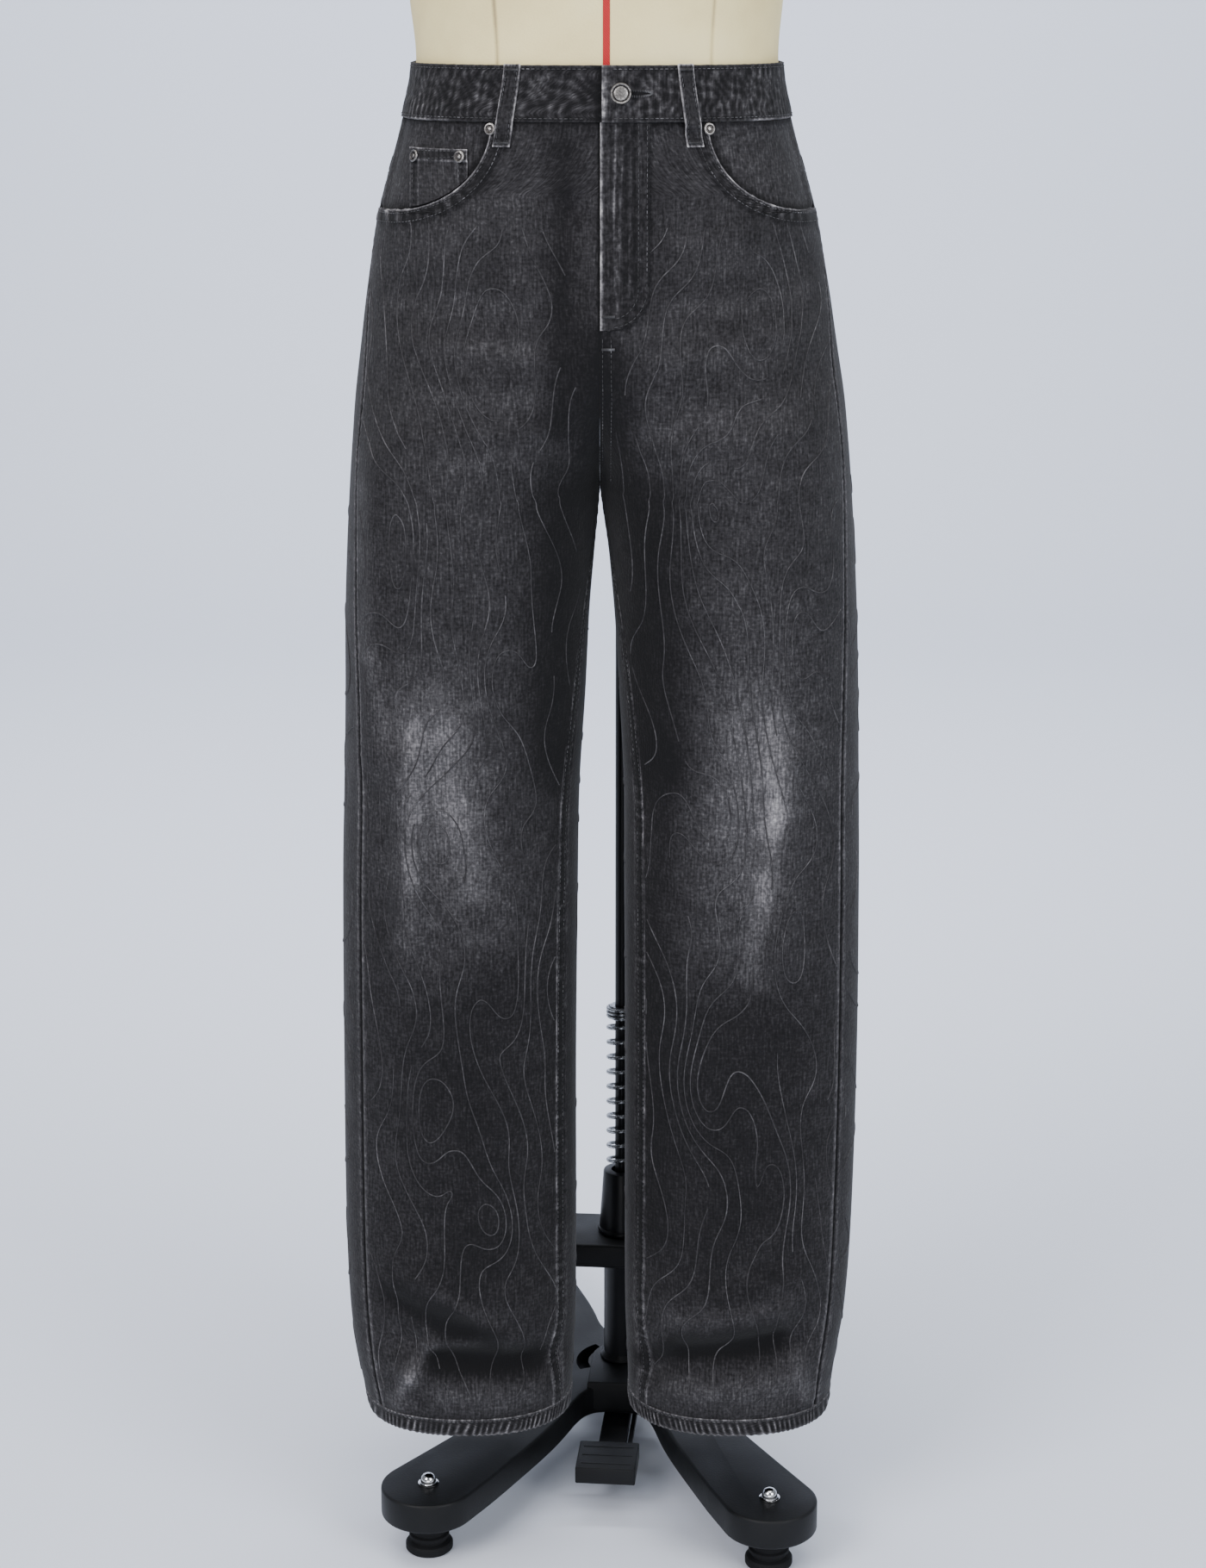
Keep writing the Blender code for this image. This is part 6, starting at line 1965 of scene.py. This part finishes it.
tools = bmesh.new()
walk = np.linspace(0.05, 0.95, 40)
for edge in (0.045, 0.15):
    stitch(tools, coin_shape(0 * walk + edge, walk)[0])
    stitch(tools, coin_shape(0 * walk + 1 - edge, walk)[0])
for down in (0.05, 0.19):
    stitch(tools, coin_shape(walk, 0 * walk + 1 - down)[0])
stitching["coin"] = sewn("stitches_coin_pocket", tools)
print("fly faces:", len(stitching["fly"].data.polygons))

# %% [markdown]
# ## Rows on the waistband, loops and hems
# The buttonhole is a slit whose edge is wound with close thread, so its stitches lie across
# the edge and fan out at both ends. Each belt loop has two rows and a bar tack at each end.

# %% Rows on the waistband and its buttonhole
tools = bmesh.new()
place = np.linspace(0.03, 3.97, 700)
for z in (WAIST_TOP - BAND_HEIGHT + 0.0022, WAIST_TOP - 0.0024):
    stitch(tools, waist(place, z, BAND_PROUD + lap_height(place) + 0.0002))
HOLE_HALF, HOLE_RISE = 0.0105, 0.0021
for angle in np.radians(np.arange(0, 360, 7)):
    x, z = BUTTONHOLE_X + HOLE_HALF * math.cos(angle), BUTTON_Z + HOLE_RISE * math.sin(angle)
    place = np.full(2, float(t_at(1, x, z)))
    out = BAND_PROUD + lap_height(place) + 0.0003
    row = waist(place, np.array([z - 0.0008, z + 0.0008]), out)
    fan = (0.35 * math.cos(angle), 0, math.sin(angle) + 0.4)
    stitch(tools, row, 0.002, 0.0016, 0.0003, turn=fan)
stitching["band"] = sewn("stitches_waistband", tools)
print("buttonhole:", round(2000 * HOLE_HALF), "mm long")

# %% Rows on the loops and hems
tools = bmesh.new()
for name, place, slant in LOOPS:
    z = np.linspace(LOOP_BOTTOM + 0.002, WAIST_TOP - 0.001, 40)
    for across in (-LOOP_WIDTH / 2 + LOOP_ROW, LOOP_WIDTH / 2 - LOOP_ROW):
        where, out = loop_place(place, slant, across, z)
        stitch(tools, waist(where, z, out + ON_TOP))
    for z in (LOOP_BOTTOM + 0.003, WAIST_TOP - 0.003):
        across = np.linspace(-LOOP_WIDTH / 2 + 0.001, LOOP_WIDTH / 2 - 0.001, 16)
        where, out = loop_place(place, slant, across, z + 0 * across)
        row = waist(where, z + 0 * across, out + 0.0003)
        stitch(tools, row, 0.0018, BAR_TACK_PITCH, turn=BAR_TACK_TURN)
stitching["loops"] = sewn("stitches_loops", tools)

for side, wearer in WEARER:
    tools = bmesh.new()
    walk = np.linspace(0.0, 1.0, 700)
    stitch(tools, hem_shape(side)(walk, 0 * walk + 1 - HEM_ROW / HEM_HEIGHT)[0])
    stitching["hem", side] = sewn("stitches_hem_" + wearer, tools)
print("stitching faces:", sum(len(piece.data.polygons) for piece in stitching.values()))

# %% [markdown]
# ## What each piece of cloth was cut to
# A sheet's flat size is measured on the shell before its thickness: its widest row, its longest
# column and its area. All of them hang from the form at the waist.

ON_PIECE = {"fly_layer": ["fly"], "coin_pocket_patch": ["coin"], "waistband_strip": ["band"]}
for side, wearer in WEARER:
    ON_PIECE["panel_front_" + wearer] = [("front", side)]
    ON_PIECE["panel_back_" + wearer] = [("back", side)]
    ON_PIECE["patch_pocket_" + wearer] = [("pocket", side)]
    ON_PIECE["hem_fold_" + wearer] = [("hem", side)]
for name, piece in pieces.items():
    wide, long, area = (float(value) for value in cuts[name])
    wide, long = round(wide + 0.0005, 3), round(long + 0.0005, 3)
    area = round(min(area, wide * long), 5)
    extra = [stitching[key] for key in ON_PIECE.get(name, [])]
    for (face, side), raised_lines in lines.items():
        if name == "panel_" + face + "_" + dict(WEARER)[side]:
            extra.append(raised_lines)
    if name == "loop_front_left":
        extra.append(stitching["loops"])
    print(name, "cut:", wide, "x", long, "m, area", area)

# %% [markdown]
# ## Floor
# The picture is a plain studio one: a pale floor that curves up behind, so that no line shows
# where it ends.

# %% Floor
FLOOR_WIDE, FLOOR_FRONT, FLOOR_BACK, FLOOR_HIGH, BEND = 36.0, 4.0, 4.4, 3.6, 1.0
FLOOR_SUNK = 0.0002
tools = bmesh.new()
bmesh.ops.create_grid(tools, x_segments=8, y_segments=48, size=0.5)
for vert in tools.verts:
    run = (vert.co.y + 0.5) * (FLOOR_FRONT + FLOOR_BACK + FLOOR_HIGH)
    flat_end = FLOOR_FRONT + FLOOR_BACK - BEND
    turn = min(max((run - flat_end) / (BEND * math.pi / 2), 0.0), 1.0) * math.pi / 2
    beyond = max(run - flat_end - BEND * math.pi / 2, 0.0)
    y = -FLOOR_FRONT + min(run, flat_end) + BEND * math.sin(turn)
    z = -FLOOR_SUNK + BEND * (1.0 - math.cos(turn)) + beyond
    vert.co = (vert.co.x * FLOOR_WIDE, y, z)
sweep = into_mesh(tools, "studio_sweep")
sweep.shade_smooth()
floor = into_scene("studio_sweep", sweep)
# real: a roll of matt background paper, which takes a soft shadow and no glint
paper, tree, shader = finish_named(
    "pale_paper", Base_Color=linear("#dfe4ee"), Roughness=0.95, Specular_IOR_Level=0.2,
)
sweep.materials.append(paper)
print("floor:", FLOOR_WIDE, "m wide, curved up", FLOOR_BACK, "m behind")

# %% [markdown]
# ## Lamps
# Two lamps in front, higher than the form, light both sides nearly alike. One over it draws
# the folds, one near the floor opens the shadows under the hems, and one lights
# the paper behind. The air adds a weak even light.

# %% Lamps
MIDDLE = (0.0, JEANS_Y, 0.75)
LAMPS = (  # name, place, aim, width and height, watts, colour
    ("key", (-1.9, -2.6, 2.5), MIDDLE, (1.6, 1.6), 95, "#fdfbff"),
    ("fill", (2.1, -2.5, 1.9), MIDDLE, (1.6, 1.8), 70, "#f7f9ff"),
    ("top", (0.0, -0.8, 3.4), (0.0, -0.2, 0.8), (2.4, 1.8), 60, "#ffffff"),
    ("low", (0.0, -3.0, 0.4), (0.0, 0.0, 0.3), (2.2, 0.7), 16, "#ffffff"),
    ("back_wall", (0.0, 1.3, 3.2), (0.0, 4.2, 0.6), (4.0, 1.2), 185, "#f2f5ff"),
)
for name, place, aim, size, watts, colour in LAMPS:
    data = bpy.data.lights.new(name, "AREA")
    data.shape = "RECTANGLE"
    data.size, data.size_y = size
    data.energy = watts
    data.color = linear(colour)[:3]
    made = into_scene(name, data)
    made.location = place
    made.rotation_euler = (Vector(aim) - Vector(place)).to_track_quat("-Z", "Y").to_euler()
world = bpy.data.worlds.new("studio_air")
bpy.context.scene.world = world
world.use_nodes = True
air = world.node_tree.nodes["Background"].inputs
air["Color"].default_value = linear("#dfe3ea")
air["Strength"].default_value = 0.37
print("lamps:", len(LAMPS))

# %% [markdown]
# ## Camera
# A long lens keeps the verticals nearly parallel, as a catalogue picture needs. Its angle was
# worked out from how the waistband's and the hems' ovals open towards the lens.

# %% Camera
FOCAL_PIXELS, PICTURE_LONG, SENSOR = 3400, 1820, 36.0
LOOK_DOWN = 15.3
data = bpy.data.cameras.new("camera")
data.sensor_width = SENSOR
data.lens = SENSOR * FOCAL_PIXELS / PICTURE_LONG
camera = into_scene("camera", data)
camera.location = (0.0025, -2.46, 1.283)
camera.rotation_euler = (math.radians(90 - LOOK_DOWN), 0.0, 0.0)
bpy.context.scene.camera = camera
print("lens:", round(data.lens, 1), "mm")
